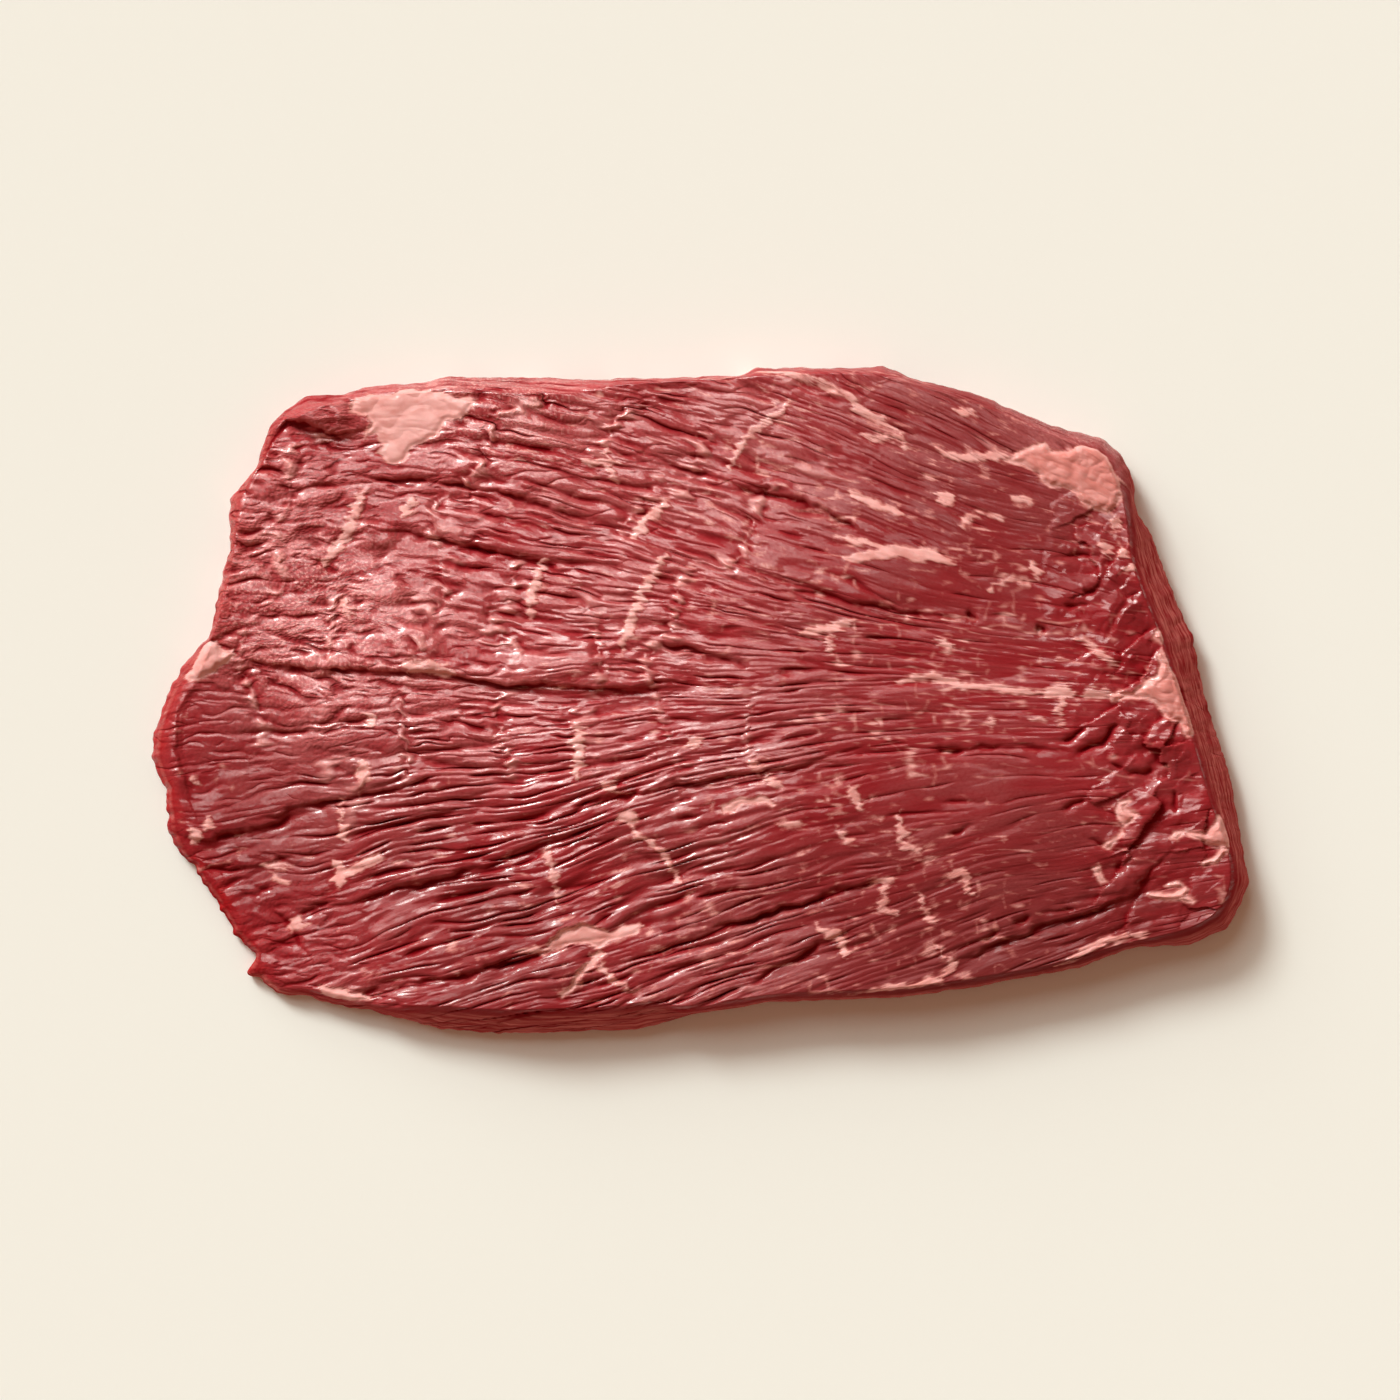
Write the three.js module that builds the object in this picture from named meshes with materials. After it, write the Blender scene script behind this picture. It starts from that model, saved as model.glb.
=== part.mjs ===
// Raw flank steak, whole and uncut, lying flat on its under side.
// One slab of beef with a ragged outline and rolled edges. Its long muscle fibres fan
// towards the right-hand end, it has open splits between the bundles of fibres, and thin
// patches of surface fat stand a little proud of it.
// Millimetres, +Z up, +X along the slab. The origin is on the ground under its middle.

import * as THREE from "three";
import { mergeVertices } from "three/addons/utils/BufferGeometryUtils.js";

// Driving dimensions
const LENGTH = 300;
const MEAT_COLOUR = 0x8f2f33;
const MEAT_ROUGHNESS = 0.45;

// Plan positions are pixels of a 1400 by 1400 photograph that looks straight down.
const PHOTO_CENTRE = 700;
const PHOTO_LENGTH = 1093;
const MM_PER_PIXEL = LENGTH / PHOTO_LENGTH;

// The mesh: steps along and across the fibres, and rows over the edge and under it
const STEPS_ALONG = 54;
const STEPS_ACROSS = 72;
const EDGE_ROWS = 4;
const UNDER_ROWS = 2;

// The outline, clockwise from the upper left corner, with one list for each side
const FAR_SIDE = [
  [303, 396], [345, 395], [362, 387], [420, 383], [445, 377], [600, 379], [742, 376],
  [758, 368], [830, 370], [882, 366], [915, 380], [985, 397], [1045, 424], [1100, 439],
];
const RIGHT_END = [
  [1113, 447], [1121, 470], [1133, 484], [1134, 515], [1166, 574], [1195, 632],
  [1212, 710], [1232, 790], [1240, 864], [1247, 882], [1241, 902],
];
const NEAR_SIDE = [
  [1226, 930], [1190, 945], [1130, 947], [1080, 967], [1000, 983], [900, 997],
  [770, 1002], [700, 1013], [640, 1029], [500, 1034], [450, 1031], [400, 1018],
  [350, 1007], [300, 996], [266, 988],
];
const LEFT_END = [
  [247, 973], [257, 955], [232, 931], [212, 895], [183, 862], [170, 834], [165, 790],
  [152, 757], [156, 720], [178, 672], [208, 638], [221, 590], [230, 552], [230, 498],
  [256, 470], [270, 425],
];
const SAMPLE_STEP = 0.5;
const CORNER_SOFTNESS = 1.4;
const INNER_SOFTNESS = 9;

// Waves of the torn edge: how many go round the outline, and their height
const EDGE_WAVES = [
  { count: 41, height: 0.35, phase: 0.4 },
  { count: 67, height: 0.3, phase: 2.1 },
  { count: 109, height: 0.22, phase: 4.4 },
];

// Thickness of the slab at places on the plan
const THICKNESS = [
  { at: [330, 430], value: 13.5 }, { at: [260, 560], value: 12 }, { at: [190, 760], value: 8.5 },
  { at: [220, 880], value: 5.5 }, { at: [290, 950], value: 6.5 }, { at: [420, 700], value: 15.5 },
  { at: [430, 900], value: 13 }, { at: [600, 450], value: 16 }, { at: [620, 700], value: 18 },
  { at: [600, 960], value: 15 }, { at: [850, 420], value: 16 }, { at: [900, 600], value: 19 },
  { at: [880, 800], value: 19.5 }, { at: [860, 960], value: 15 }, { at: [1080, 480], value: 17 },
  { at: [1130, 650], value: 19 }, { at: [1180, 800], value: 18 }, { at: [1200, 900], value: 15 },
];
const THICKNESS_REACH = 26;

// How far the edge rolls in from the outline, seen from above
const EDGE_ROLL = [
  { at: [1190, 600], value: 9 }, { at: [1232, 760], value: 8 }, { at: [1240, 900], value: 5 },
  { at: [1080, 965], value: 6 }, { at: [850, 1000], value: 4 }, { at: [500, 1030], value: 7 },
  { at: [330, 1000], value: 4 }, { at: [210, 900], value: 4 }, { at: [155, 740], value: 5 },
  { at: [230, 540], value: 5 }, { at: [300, 400], value: 5 }, { at: [470, 378], value: 6 },
  { at: [700, 377], value: 4 }, { at: [900, 370], value: 5 }, { at: [1110, 450], value: 5 },
];
const EDGE_ROLL_REACH = 20;
const WIDEST_HEIGHT = 0.34;
const UNDERCUT = 2.2;

// Lines that the fibres follow, far side first. Each is named by its distance across
// the fibres, in millimetres from the middle seam.
const GRAIN_LINES = [
  { across: 104, through: [
    [100, 300], [400, 320], [600, 350], [800, 402], [950, 465], [1100, 520], [1300, 570],
  ] },
  { across: 54, through: [
    [100, 468], [300, 474], [440, 484], [560, 508], [700, 548], [860, 600], [1000, 630],
    [1300, 672],
  ] },
  { across: 0, through: [
    [100, 672], [300, 668], [430, 672], [560, 686], [860, 682], [1120, 695], [1300, 708],
  ] },
  { across: -60, through: [
    [100, 965], [340, 905], [430, 880], [560, 845], [700, 800], [860, 765], [1020, 748],
    [1300, 742],
  ] },
  { across: -96, through: [
    [100, 1130], [300, 1060], [450, 1010], [600, 965], [760, 915], [885, 882], [1000, 850],
    [1300, 822],
  ] },
  { across: -146, through: [
    [100, 1310], [450, 1190], [700, 1080], [850, 1020], [1000, 960], [1130, 915], [1300, 880],
  ] },
];

// Bundles of fibres: rounded ridges with a crease between them. Towards the right-hand end,
// where the fibres draw together, broader bundles take over.
const BUNDLES = [
  { along: 70, across: 8.5, height: 1.5 },
  { along: 34, across: 4.6, height: 0.7 },
];
const MERGE_FROM = [740, 700];
const MERGE_TO = [1000, 700];
const MERGED_WIDTH = 2.3;

// How strongly the bundles stand out at places on the plan
const BUNDLE_STRENGTH = [
  { at: [200, 800], value: 0.9 }, { at: [300, 560], value: 1 }, { at: [420, 800], value: 1.6 },
  { at: [620, 500], value: 1.3 }, { at: [600, 900], value: 1.6 }, { at: [820, 640], value: 1.1 },
  { at: [960, 450], value: 0.9 }, { at: [900, 930], value: 1.3 }, { at: [980, 700], value: 0.7 },
  { at: [1060, 560], value: 0.6 }, { at: [1150, 800], value: 1 },
];
const SWELL = { size: 55, height: 0.9 };

// Open splits along the fibres. lip lifts the far bank over the near one.
const SPLITS = [
  { name: "middle seam", through: [
    [240, 661], [300, 669], [430, 673], [500, 686], [620, 688], [720, 683],
  ], depth: 2.2, lip: 1.4 },
  { name: "far left fold", through: [
    [284, 417], [310, 421], [330, 436], [366, 439],
  ], depth: 3, lip: 1.2 },
  { name: "far split", through: [[345, 478], [440, 484], [500, 494], [585, 520]], depth: 1.8, lip: 0.8 },
  { name: "long far split", through: [
    [355, 540], [372, 529], [460, 545], [585, 576],
  ], depth: 2.4, lip: 1.2 },
  { name: "upper middle split", through: [[640, 454], [690, 474], [722, 481]], depth: 1.8, lip: 0.6 },
  { name: "open middle split", through: [[742, 489], [800, 505], [862, 533]], depth: 2.6, lip: 1 },
  { name: "right of middle", through: [[765, 583], [860, 607], [960, 622]], depth: 1.5, lip: 0.5 },
  { name: "over the seam", through: [[640, 640], [700, 653], [745, 668]], depth: 2.2, lip: 0.8 },
  { name: "left end split", through: [[232, 733], [320, 731], [375, 716]], depth: 1.6, lip: 0.6 },
  { name: "left flap split", through: [
    [250, 822], [300, 809], [345, 799], [440, 782],
  ], depth: 2.2, lip: 0.8 },
  { name: "long near split", through: [[340, 905], [440, 880], [545, 850]], depth: 2, lip: 0.9 },
  { name: "middle near split", through: [
    [562, 818], [585, 803], [700, 783], [830, 761],
  ], depth: 2, lip: 0.8 },
  { name: "near hollow", through: [[395, 985], [470, 975], [560, 948]], depth: 2.4, lip: 0.6 },
  { name: "near gap", through: [[715, 928], [770, 914], [830, 891], [886, 881]], depth: 2.8, lip: 0.8 },
  { name: "near edge gap", through: [[755, 982], [790, 958], [845, 936]], depth: 2.6, lip: 0.8 },
  { name: "right seam", through: [[930, 750], [1020, 746], [1062, 753]], depth: 1.2, lip: 0.3 },
  { name: "right end pit", through: [[1075, 756], [1098, 742], [1112, 722]], depth: 2.2, lip: 0.4 },
  { name: "near right fold", through: [
    [960, 958], [1040, 926], [1130, 898], [1165, 850],
  ], depth: 2.2, lip: 1 },
];
const SPLIT_WIDTH = 2.4;
const LIP_REACH = 7;
const SPLIT_CATCH = 1.3;

// Patches of fat on the surface
const FAT = [
  { name: "far left patch", through: [[362, 406], [462, 405]], radius: 3.6 },
  { name: "far left tongue", through: [[415, 420], [400, 455]], radius: 4.2 },
  { name: "far right patch", through: [[1020, 460], [1060, 472], [1100, 492]], radius: 5.6 },
  { name: "right end patch", through: [[1158, 640], [1165, 690], [1192, 728]], radius: 3.6 },
  { name: "right end arm", through: [[1108, 695], [1160, 690]], radius: 2 },
  { name: "near right knob", through: [[1208, 832], [1228, 836]], radius: 3.4 },
  { name: "left end knob", through: [[202, 666], [232, 651]], radius: 3.4 },
  { name: "near middle patch", through: [[556, 940], [590, 930], [648, 926]], radius: 2.6 },
  { name: "near left knob", through: [[330, 992], [366, 998]], radius: 2.4 },
];
const FAT_HEIGHT = 0.6;
const FAT_EDGE = 1.6;

// The flat middle of the under side
const REST_HALF_LENGTH = 70;
const REST_HALF_WIDTH = 40;

const lerp = THREE.MathUtils.lerp;
const smoothstep = THREE.MathUtils.smoothstep;
const bell = (distance, width) => Math.exp(-((distance / width) ** 2));

// A pixel of the photograph as a place on the plan
function onPlan([x, y]) {
  return new THREE.Vector2((x - PHOTO_CENTRE) * MM_PER_PIXEL, (PHOTO_CENTRE - y) * MM_PER_PIXEL);
}

// The mean of the stations' values, the nearest counting most
function blended(stations, reach, place) {
  let total = 0;
  let weights = 0;
  for (const { at, value } of stations) {
    const weight = bell(onPlan(at).distanceTo(place), reach) + 1e-9;
    total += weight * value;
    weights += weight;
  }
  return total / weights;
}

// Smooth noise from -1 to 1, with a feature about every unit
function noise(x, y) {
  const column = Math.floor(x);
  const row = Math.floor(y);
  const ease = (t) => t * t * t * (t * (t * 6 - 15) + 10);
  const slope = (i, j) => {
    const mixed = Math.sin(i * 127.1 + j * 311.7) * 43758.5453;
    const angle = 2 * Math.PI * (mixed - Math.floor(mixed));
    return Math.cos(angle) * (x - i) + Math.sin(angle) * (y - j);
  };
  const across = ease(x - column);
  const far = lerp(slope(column, row), slope(column + 1, row), across);
  const near = lerp(slope(column, row + 1), slope(column + 1, row + 1), across);
  return 1.4 * lerp(far, near, ease(y - row));
}

// Height of a line on the plan at x, through its points with smooth easing between them
function heightOfLine(points, x) {
  let i = 0;
  while (i < points.length - 2 && x > points[i + 1].x) i += 1;
  const [a, b] = [points[i], points[i + 1]];
  const before = points[Math.max(i - 1, 0)];
  const after = points[Math.min(i + 2, points.length - 1)];
  const t = (x - a.x) / (b.x - a.x);
  const startSlope = ((b.y - before.y) / (b.x - before.x)) * (b.x - a.x);
  const endSlope = ((after.y - a.y) / (after.x - a.x)) * (b.x - a.x);
  const [t2, t3] = [t * t, t * t * t];
  return (
    (2 * t3 - 3 * t2 + 1) * a.y + (t3 - 2 * t2 + t) * startSlope +
    (3 * t2 - 2 * t3) * b.y + (t3 - t2) * endSlope
  );
}

// Distance across the fibres from the middle seam, the same all along one fibre
const grainLines = GRAIN_LINES.map(({ across, through }) => ({ across, points: through.map(onPlan) }));
function acrossGrain(place) {
  const heights = grainLines.map(({ points }) => heightOfLine(points, place.x));
  let i = 0;
  while (i < heights.length - 2 && place.y < heights[i + 1]) i += 1;
  const share = (heights[i] - place.y) / (heights[i] - heights[i + 1]);
  return lerp(grainLines[i].across, grainLines[i + 1].across, share);
}

// The nearest point of a chain of straight stretches, with its distance from the place, which
// bank the place is on (1 on the far one), and how far along the chain it is, from 0 to 1
function nearestOn(points, place) {
  const lengths = points.slice(1).map((point, i) => point.distanceTo(points[i]));
  const whole = lengths.reduce((sum, length) => sum + length, 0);
  let best = { distance: Infinity };
  let passed = 0;
  lengths.forEach((length, i) => {
    const run = points[i + 1].clone().sub(points[i]);
    const offset = place.clone().sub(points[i]);
    const share = THREE.MathUtils.clamp(offset.dot(run) / (length * length), 0, 1);
    const point = points[i].clone().addScaledVector(run, share);
    const distance = point.distanceTo(place);
    if (distance < best.distance) {
      const bank = Math.sign(run.x * offset.y - run.y * offset.x);
      best = { point, distance, bank, along: (passed + share * length) / whole };
    }
    passed += length;
  });
  return best;
}

const splits = SPLITS.map((split) => ({ ...split, points: split.through.map(onPlan) }));
const fat = FAT.map((patch) => ({ ...patch, points: patch.through.map(onPlan) }));

function bundleRelief(place) {
  const fibre = acrossGrain(place) + 2 * noise(place.x / 30, place.y / 15);
  const merged = smoothstep(place.x, onPlan(MERGE_FROM).x, onPlan(MERGE_TO).x);
  const strength = blended(BUNDLE_STRENGTH, THICKNESS_REACH, place);
  let height = SWELL.height * noise(place.x / SWELL.size, place.y / SWELL.size);
  for (const bundle of BUNDLES) {
    const fine = Math.abs(noise(place.x / bundle.along, fibre / bundle.across));
    const broad = Math.abs(noise(place.x / bundle.along, fibre / bundle.across / MERGED_WIDTH));
    height += strength * bundle.height * (Math.sqrt(lerp(fine, broad, merged)) - 0.5);
  }
  return height;
}

function splitRelief(place) {
  let height = 0;
  for (const { points, depth, lip } of splits) {
    const { distance, bank, along } = nearestOn(points, place);
    if (distance > 3 * LIP_REACH) continue;
    const taper = Math.min(1, 4 * Math.min(along, 1 - along) + 0.2);
    const step = bank * smoothstep(distance, 0, SPLIT_WIDTH / 2);
    height -= taper * depth * bell(distance, SPLIT_WIDTH / 2);
    height += (taper * lip * step * bell(distance, LIP_REACH)) / 2;
  }
  return height;
}

function fatRelief(place) {
  let height = 0;
  for (const { points, radius } of fat) {
    const { distance } = nearestOn(points, place);
    const covered = 1 - smoothstep(distance, radius - FAT_EDGE / 2, radius + FAT_EDGE);
    height = Math.max(height, FAT_HEIGHT * covered);
  }
  return height;
}

function topHeight(place) {
  const slab = blended(THICKNESS, THICKNESS_REACH, place);
  const relief = bundleRelief(place) + splitRelief(place);
  return slab + relief * smoothstep(slab, 3, 12) + fatRelief(place);
}

// The outline as closely spaced points, with the index at which each side starts
function traceOutline() {
  const sides = [FAR_SIDE, RIGHT_END, NEAR_SIDE, LEFT_END].map((side) => side.map(onPlan));
  const corners = sides.flat();
  const samples = [];
  const starts = [];
  corners.forEach((corner, i) => {
    if (sides.some((side) => side[0] === corner)) starts.push(samples.length);
    const next = corners[(i + 1) % corners.length];
    const count = Math.max(1, Math.round(corner.distanceTo(next) / SAMPLE_STEP));
    for (let k = 0; k < count; k += 1) samples.push(corner.clone().lerp(next, k / count));
  });
  return { samples, starts };
}

// A closed chain of points, each the mean of its neighbours within about softness
function softened(points, softness) {
  const reach = Math.ceil((3 * softness) / SAMPLE_STEP);
  return points.map((_, i) => {
    const mean = new THREE.Vector2();
    let weights = 0;
    for (let k = -reach; k <= reach; k += 1) {
      const weight = bell(k * SAMPLE_STEP, softness * Math.SQRT2);
      mean.addScaledVector(points[(i + k + points.length) % points.length], weight);
      weights += weight;
    }
    return mean.divideScalar(weights);
  });
}

// The direction out of a closed clockwise chain at one of its points
function outward(points, i) {
  const after = points[(i + 1) % points.length];
  const before = points[(i - 1 + points.length) % points.length];
  const run = after.clone().sub(before).normalize();
  return new THREE.Vector2(-run.y, run.x);
}

// The places round the slab where the mesh has a column: on the outline, and on the edge
// of the upper face, which lies in from it by the roll of the edge
function edgeColumns() {
  const { samples, starts } = traceOutline();
  const outline = softened(samples, CORNER_SOFTNESS);
  const inner = softened(samples, INNER_SOFTNESS);
  const steps = [STEPS_ALONG, STEPS_ACROSS, STEPS_ALONG, STEPS_ACROSS];
  const columns = [];
  starts.forEach((start, side) => {
    const end = side < 3 ? starts[side + 1] : samples.length;
    for (let k = 0; k < steps[side]; k += 1) {
      const i = Math.round(lerp(start, end, k / steps[side])) % samples.length;
      const turn = (2 * Math.PI * i) / samples.length;
      const out = outward(inner, i);
      const torn = EDGE_WAVES.map((wave) => wave.height * Math.sin(wave.count * turn + wave.phase));
      const rim = outline[i].clone().addScaledVector(out, torn.reduce((sum, height) => sum + height));
      const roll = blended(EDGE_ROLL, EDGE_ROLL_REACH, rim);
      columns.push({ rim, out, face: inner[i].clone().addScaledVector(out, -roll) });
    }
  });
  return columns;
}

// A place on the plan, moved onto the bottom of a split that passes close to it, so that
// the mesh follows the splits
function ontoSplit(place) {
  const near = splits.map(({ points }) => nearestOn(points, place));
  const caught = near.find(({ distance }) => distance < SPLIT_CATCH);
  return caught ? caught.point : place;
}

// A point of the upper face, blended from its four edges. s goes along and t across.
function facePoint(columns, s, t) {
  const face = (i) => columns[i % columns.length].face;
  const [right, near, left] = [STEPS_ALONG, STEPS_ALONG + STEPS_ACROSS, 2 * STEPS_ALONG + STEPS_ACROSS];
  if (t === 0) return face(s);
  if (s === STEPS_ALONG) return face(right + t);
  if (t === STEPS_ACROSS) return face(left - s);
  if (s === 0) return face(columns.length - t);
  const [u, v] = [s / STEPS_ALONG, t / STEPS_ACROSS];
  const place = new THREE.Vector2()
    .addScaledVector(face(s), 1 - v)
    .addScaledVector(face(left - s), v)
    .addScaledVector(face(columns.length - t), 1 - u)
    .addScaledVector(face(right + t), u)
    .addScaledVector(face(0), -(1 - u) * (1 - v))
    .addScaledVector(face(right), -u * (1 - v))
    .addScaledVector(face(near), -u * v)
    .addScaledVector(face(left), -(1 - u) * v);
  return ontoSplit(place);
}

// Rings of points from the edge of the upper face, over the rolled edge and in underneath
function edgeRings(columns) {
  const rings = [];
  for (let row = 0; row <= EDGE_ROWS + UNDER_ROWS; row += 1) {
    rings.push(columns.map(({ rim, out, face }) => {
      const top = topHeight(face);
      const widest = WIDEST_HEIGHT * top;
      if (row <= EDGE_ROWS) {
        const angle = ((1 - row / EDGE_ROWS) * Math.PI) / 2;
        const place = face.clone().lerp(rim, Math.cos(angle));
        return new THREE.Vector3(place.x, place.y, lerp(widest, top, Math.sin(angle)));
      }
      const angle = (((row - EDGE_ROWS) / UNDER_ROWS) * Math.PI) / 2;
      const place = rim.clone().addScaledVector(out, -UNDERCUT * (1 - Math.cos(angle)));
      return new THREE.Vector3(place.x, place.y, widest * (1 - Math.sin(angle)));
    }));
  }
  return rings;
}

class Skin {
  constructor() {
    this.positions = [];
  }

  triangle(a, b, c) {
    for (const p of [a, b, c]) this.positions.push(p.x, p.y, p.z);
  }

  // Four corners in anticlockwise order, seen from outside
  quad(a, b, c, d) {
    this.triangle(a, b, c);
    this.triangle(a, c, d);
  }

  geometry() {
    const made = new THREE.BufferGeometry();
    made.setAttribute("position", new THREE.Float32BufferAttribute(this.positions, 3));
    const merged = mergeVertices(made, 1e-4);
    merged.computeVertexNormals();
    return merged;
  }
}

function addUpperFace(skin, columns) {
  const grid = [];
  for (let t = 0; t <= STEPS_ACROSS; t += 1) {
    grid.push([]);
    for (let s = 0; s <= STEPS_ALONG; s += 1) {
      const place = facePoint(columns, s, t);
      grid[t].push(new THREE.Vector3(place.x, place.y, topHeight(place)));
    }
  }
  for (let t = 0; t < STEPS_ACROSS; t += 1) {
    for (let s = 0; s < STEPS_ALONG; s += 1) {
      const [a, b, c, d] = [grid[t][s], grid[t + 1][s], grid[t + 1][s + 1], grid[t][s + 1]];
      // The fold between the two triangles runs where it is lower, so that a split stays open
      if (a.z + c.z < b.z + d.z) skin.quad(a, b, c, d);
      else skin.quad(b, c, d, a);
    }
  }
}

function addEdge(skin, rings) {
  for (let row = 0; row + 1 < rings.length; row += 1) {
    const [upper, lower] = [rings[row], rings[row + 1]];
    upper.forEach((point, i) => {
      const next = (i + 1) % upper.length;
      skin.quad(point, upper[next], lower[next], lower[i]);
    });
  }
}

function addUnderside(skin, foot) {
  const rest = [[-1, -1], [1, -1], [1, 1], [-1, 1]].map(
    ([x, y]) => new THREE.Vector2(x * REST_HALF_LENGTH, y * REST_HALF_WIDTH),
  );
  const rim = foot.map(({ x, y }) => new THREE.Vector2(x, y)).reverse();
  const corners = [...rim, ...rest];
  for (const [a, b, c] of THREE.ShapeUtils.triangulateShape(rim, [rest])) {
    const facesUp = THREE.ShapeUtils.area([corners[a], corners[b], corners[c]]) > 0;
    const order = facesUp ? [a, c, b] : [a, b, c];
    skin.triangle(...order.map((i) => new THREE.Vector3(corners[i].x, corners[i].y, 0)));
  }
  const [p, q, r, s] = rest.map(({ x, y }) => new THREE.Vector3(x, y, 0));
  skin.quad(p, s, r, q);
}

function steakGeometry() {
  const columns = edgeColumns();
  const rings = edgeRings(columns);
  const skin = new Skin();
  addUpperFace(skin, columns);
  addEdge(skin, rings);
  addUnderside(skin, rings[rings.length - 1]);
  const geometry = skin.geometry();
  geometry.computeBoundingBox();
  const middle = geometry.boundingBox.getCenter(new THREE.Vector3());
  return geometry.translate(-middle.x, -middle.y, 0);
}

function makeSteak() {
  const meat = new THREE.MeshStandardMaterial({
    color: MEAT_COLOUR,
    roughness: MEAT_ROUGHNESS,
    metalness: 0,
  });
  const steak = new THREE.Mesh(steakGeometry(), meat);
  steak.name = "flank_steak";
  const group = new THREE.Group();
  group.add(steak);
  return group;
}

export default makeSteak();
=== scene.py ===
"""The looks of a raw flank steak: a slab of beef with fanned fibres, open splits and some fat.

The slab is worked out in millimetres on a plan seen from straight above. Places on the plan are
pixels of a 1400 by 1400 photograph, listed as x, y, x, y. Everything becomes metres when it goes
into Blender.
"""

import math

import bpy
import numpy as np
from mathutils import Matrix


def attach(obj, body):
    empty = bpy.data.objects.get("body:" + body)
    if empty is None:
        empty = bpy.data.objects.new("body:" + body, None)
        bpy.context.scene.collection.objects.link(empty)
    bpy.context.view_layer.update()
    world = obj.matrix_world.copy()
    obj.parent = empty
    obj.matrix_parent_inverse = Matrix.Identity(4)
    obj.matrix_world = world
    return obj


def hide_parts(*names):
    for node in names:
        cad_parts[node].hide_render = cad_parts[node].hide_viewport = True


# Driving dimensions, in millimetres unless named otherwise
LENGTH = 300.0
WIDTH = 183.0
PHOTO_SIZE = 1400.0
PHOTO_CENTRE = 700.0
PHOTO_LENGTH = 1093.0
MM_PER_PIXEL = LENGTH / PHOTO_LENGTH
METRES = 0.001
# Large numbers that scatter the noise, which has no random draws
FACTORS = [(127.1, 311.7), (269.5, 183.3)]
SCATTER = 43758.5453

# The mesh: steps along and across the fibres, rows over the edge and under it, and how many
# steps of the upper face go to one step of the under side
STEPS_ALONG = 560
STEPS_ACROSS = 640
EDGE_ROWS = 20
UNDER_ROWS = 6
UNDER_STEP = 4

# The outline, clockwise from the upper left corner, with one list for each side
FAR_SIDE = [
    303, 396, 345, 395, 362, 387, 420, 383, 445, 377, 600, 379, 742, 376, 758, 368, 830, 370, 882,
    366, 915, 380, 985, 397, 1045, 424, 1100, 439,
]
RIGHT_END = [
    1113, 447, 1122, 457, 1132, 478, 1135, 507, 1147, 530, 1162, 566, 1177, 605, 1192, 634, 1200,
    680, 1212, 718, 1230, 780, 1242, 845, 1249, 880, 1241, 905,
]
NEAR_SIDE = [
    1226, 930, 1190, 945, 1130, 947, 1080, 967, 1000, 983, 900, 997, 770, 1002, 700, 1013, 640,
    1029, 500, 1034, 450, 1031, 400, 1018, 350, 1007, 300, 996, 266, 988,
]
LEFT_END = [
    247, 973, 257, 955, 232, 931, 212, 895, 183, 862, 170, 834, 165, 790, 152, 757, 156, 720, 178,
    672, 208, 638, 221, 590, 230, 552, 230, 498, 256, 470, 270, 425,
]
SAMPLE_STEP = 0.25
CORNER_SOFTNESS = 1.0
INNER_SOFTNESS = 9.0

# Waves of the torn edge: their size and height
EDGE_WAVES = [(8.0, 0.35), (3.3, 0.3), (1.7, 0.08)]

# Thickness of the slab at places on the plan
THICKNESS = [
    (330, 430, 13.5), (260, 560, 12), (190, 760, 8.5), (220, 880, 5.5), (290, 950, 6.5),
    (420, 700, 15.5), (430, 900, 13), (600, 450, 16), (620, 700, 18), (600, 960, 15),
    (850, 420, 16), (900, 600, 19), (880, 800, 19.5), (860, 960, 15), (1080, 480, 17),
    (1130, 650, 19), (1180, 800, 18), (1200, 900, 15),
]
THICKNESS_REACH = 26.0

# How far the edge rolls in from the outline, seen from above
EDGE_ROLL = [
    (1190, 600, 9), (1232, 760, 8), (1240, 900, 4), (1080, 965, 3), (850, 1000, 3),
    (500, 1030, 7), (330, 1000, 3), (210, 900, 4), (155, 740, 5), (230, 540, 2.5), (300, 400, 3),
    (390, 388, 3), (500, 378, 5), (700, 377, 2), (900, 370, 2), (1000, 400, 3), (1110, 450, 4),
]
EDGE_ROLL_REACH = 20.0
# The height of the widest place, as a share of the thickness, and how far the edge goes in again
# under it and then on the sole
WIDEST_HEIGHT = 0.34
UNDERCUT = 2.2
SOLE_INSET = 2.0

# Where the edge is cut off as a flat sloping wall, 1, and where it rolls over roundly, 0
EDGE_WALL = [
    (1190, 600, 1), (1232, 760, 1), (1240, 880, 0.6), (1080, 965, 0.3), (850, 1000, 0.2),
    (500, 1030, 0.8), (330, 1000, 0.2), (210, 900, 0), (155, 740, 0), (230, 540, 0),
    (300, 400, 0.1), (390, 388, 0.1), (500, 378, 0.7), (700, 377, 0.1), (900, 370, 0.1),
    (1110, 450, 0.3),
]
# The share of the relief that pushes the edge outwards
RIM_PUSH = 0.35
# How torn the edge is
TORN = [
    (250, 960, 3.5), (205, 885, 4), (170, 830, 3.5), (155, 760, 1.5), (190, 660, 2),
    (225, 560, 2), (300, 396, 0.8), (600, 379, 1), (800, 369, 1), (1000, 400, 1.1),
    (1180, 600, 1.2), (1235, 800, 1.2), (1100, 955, 1), (700, 1013, 0.6), (400, 1018, 1.2),
]

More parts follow.
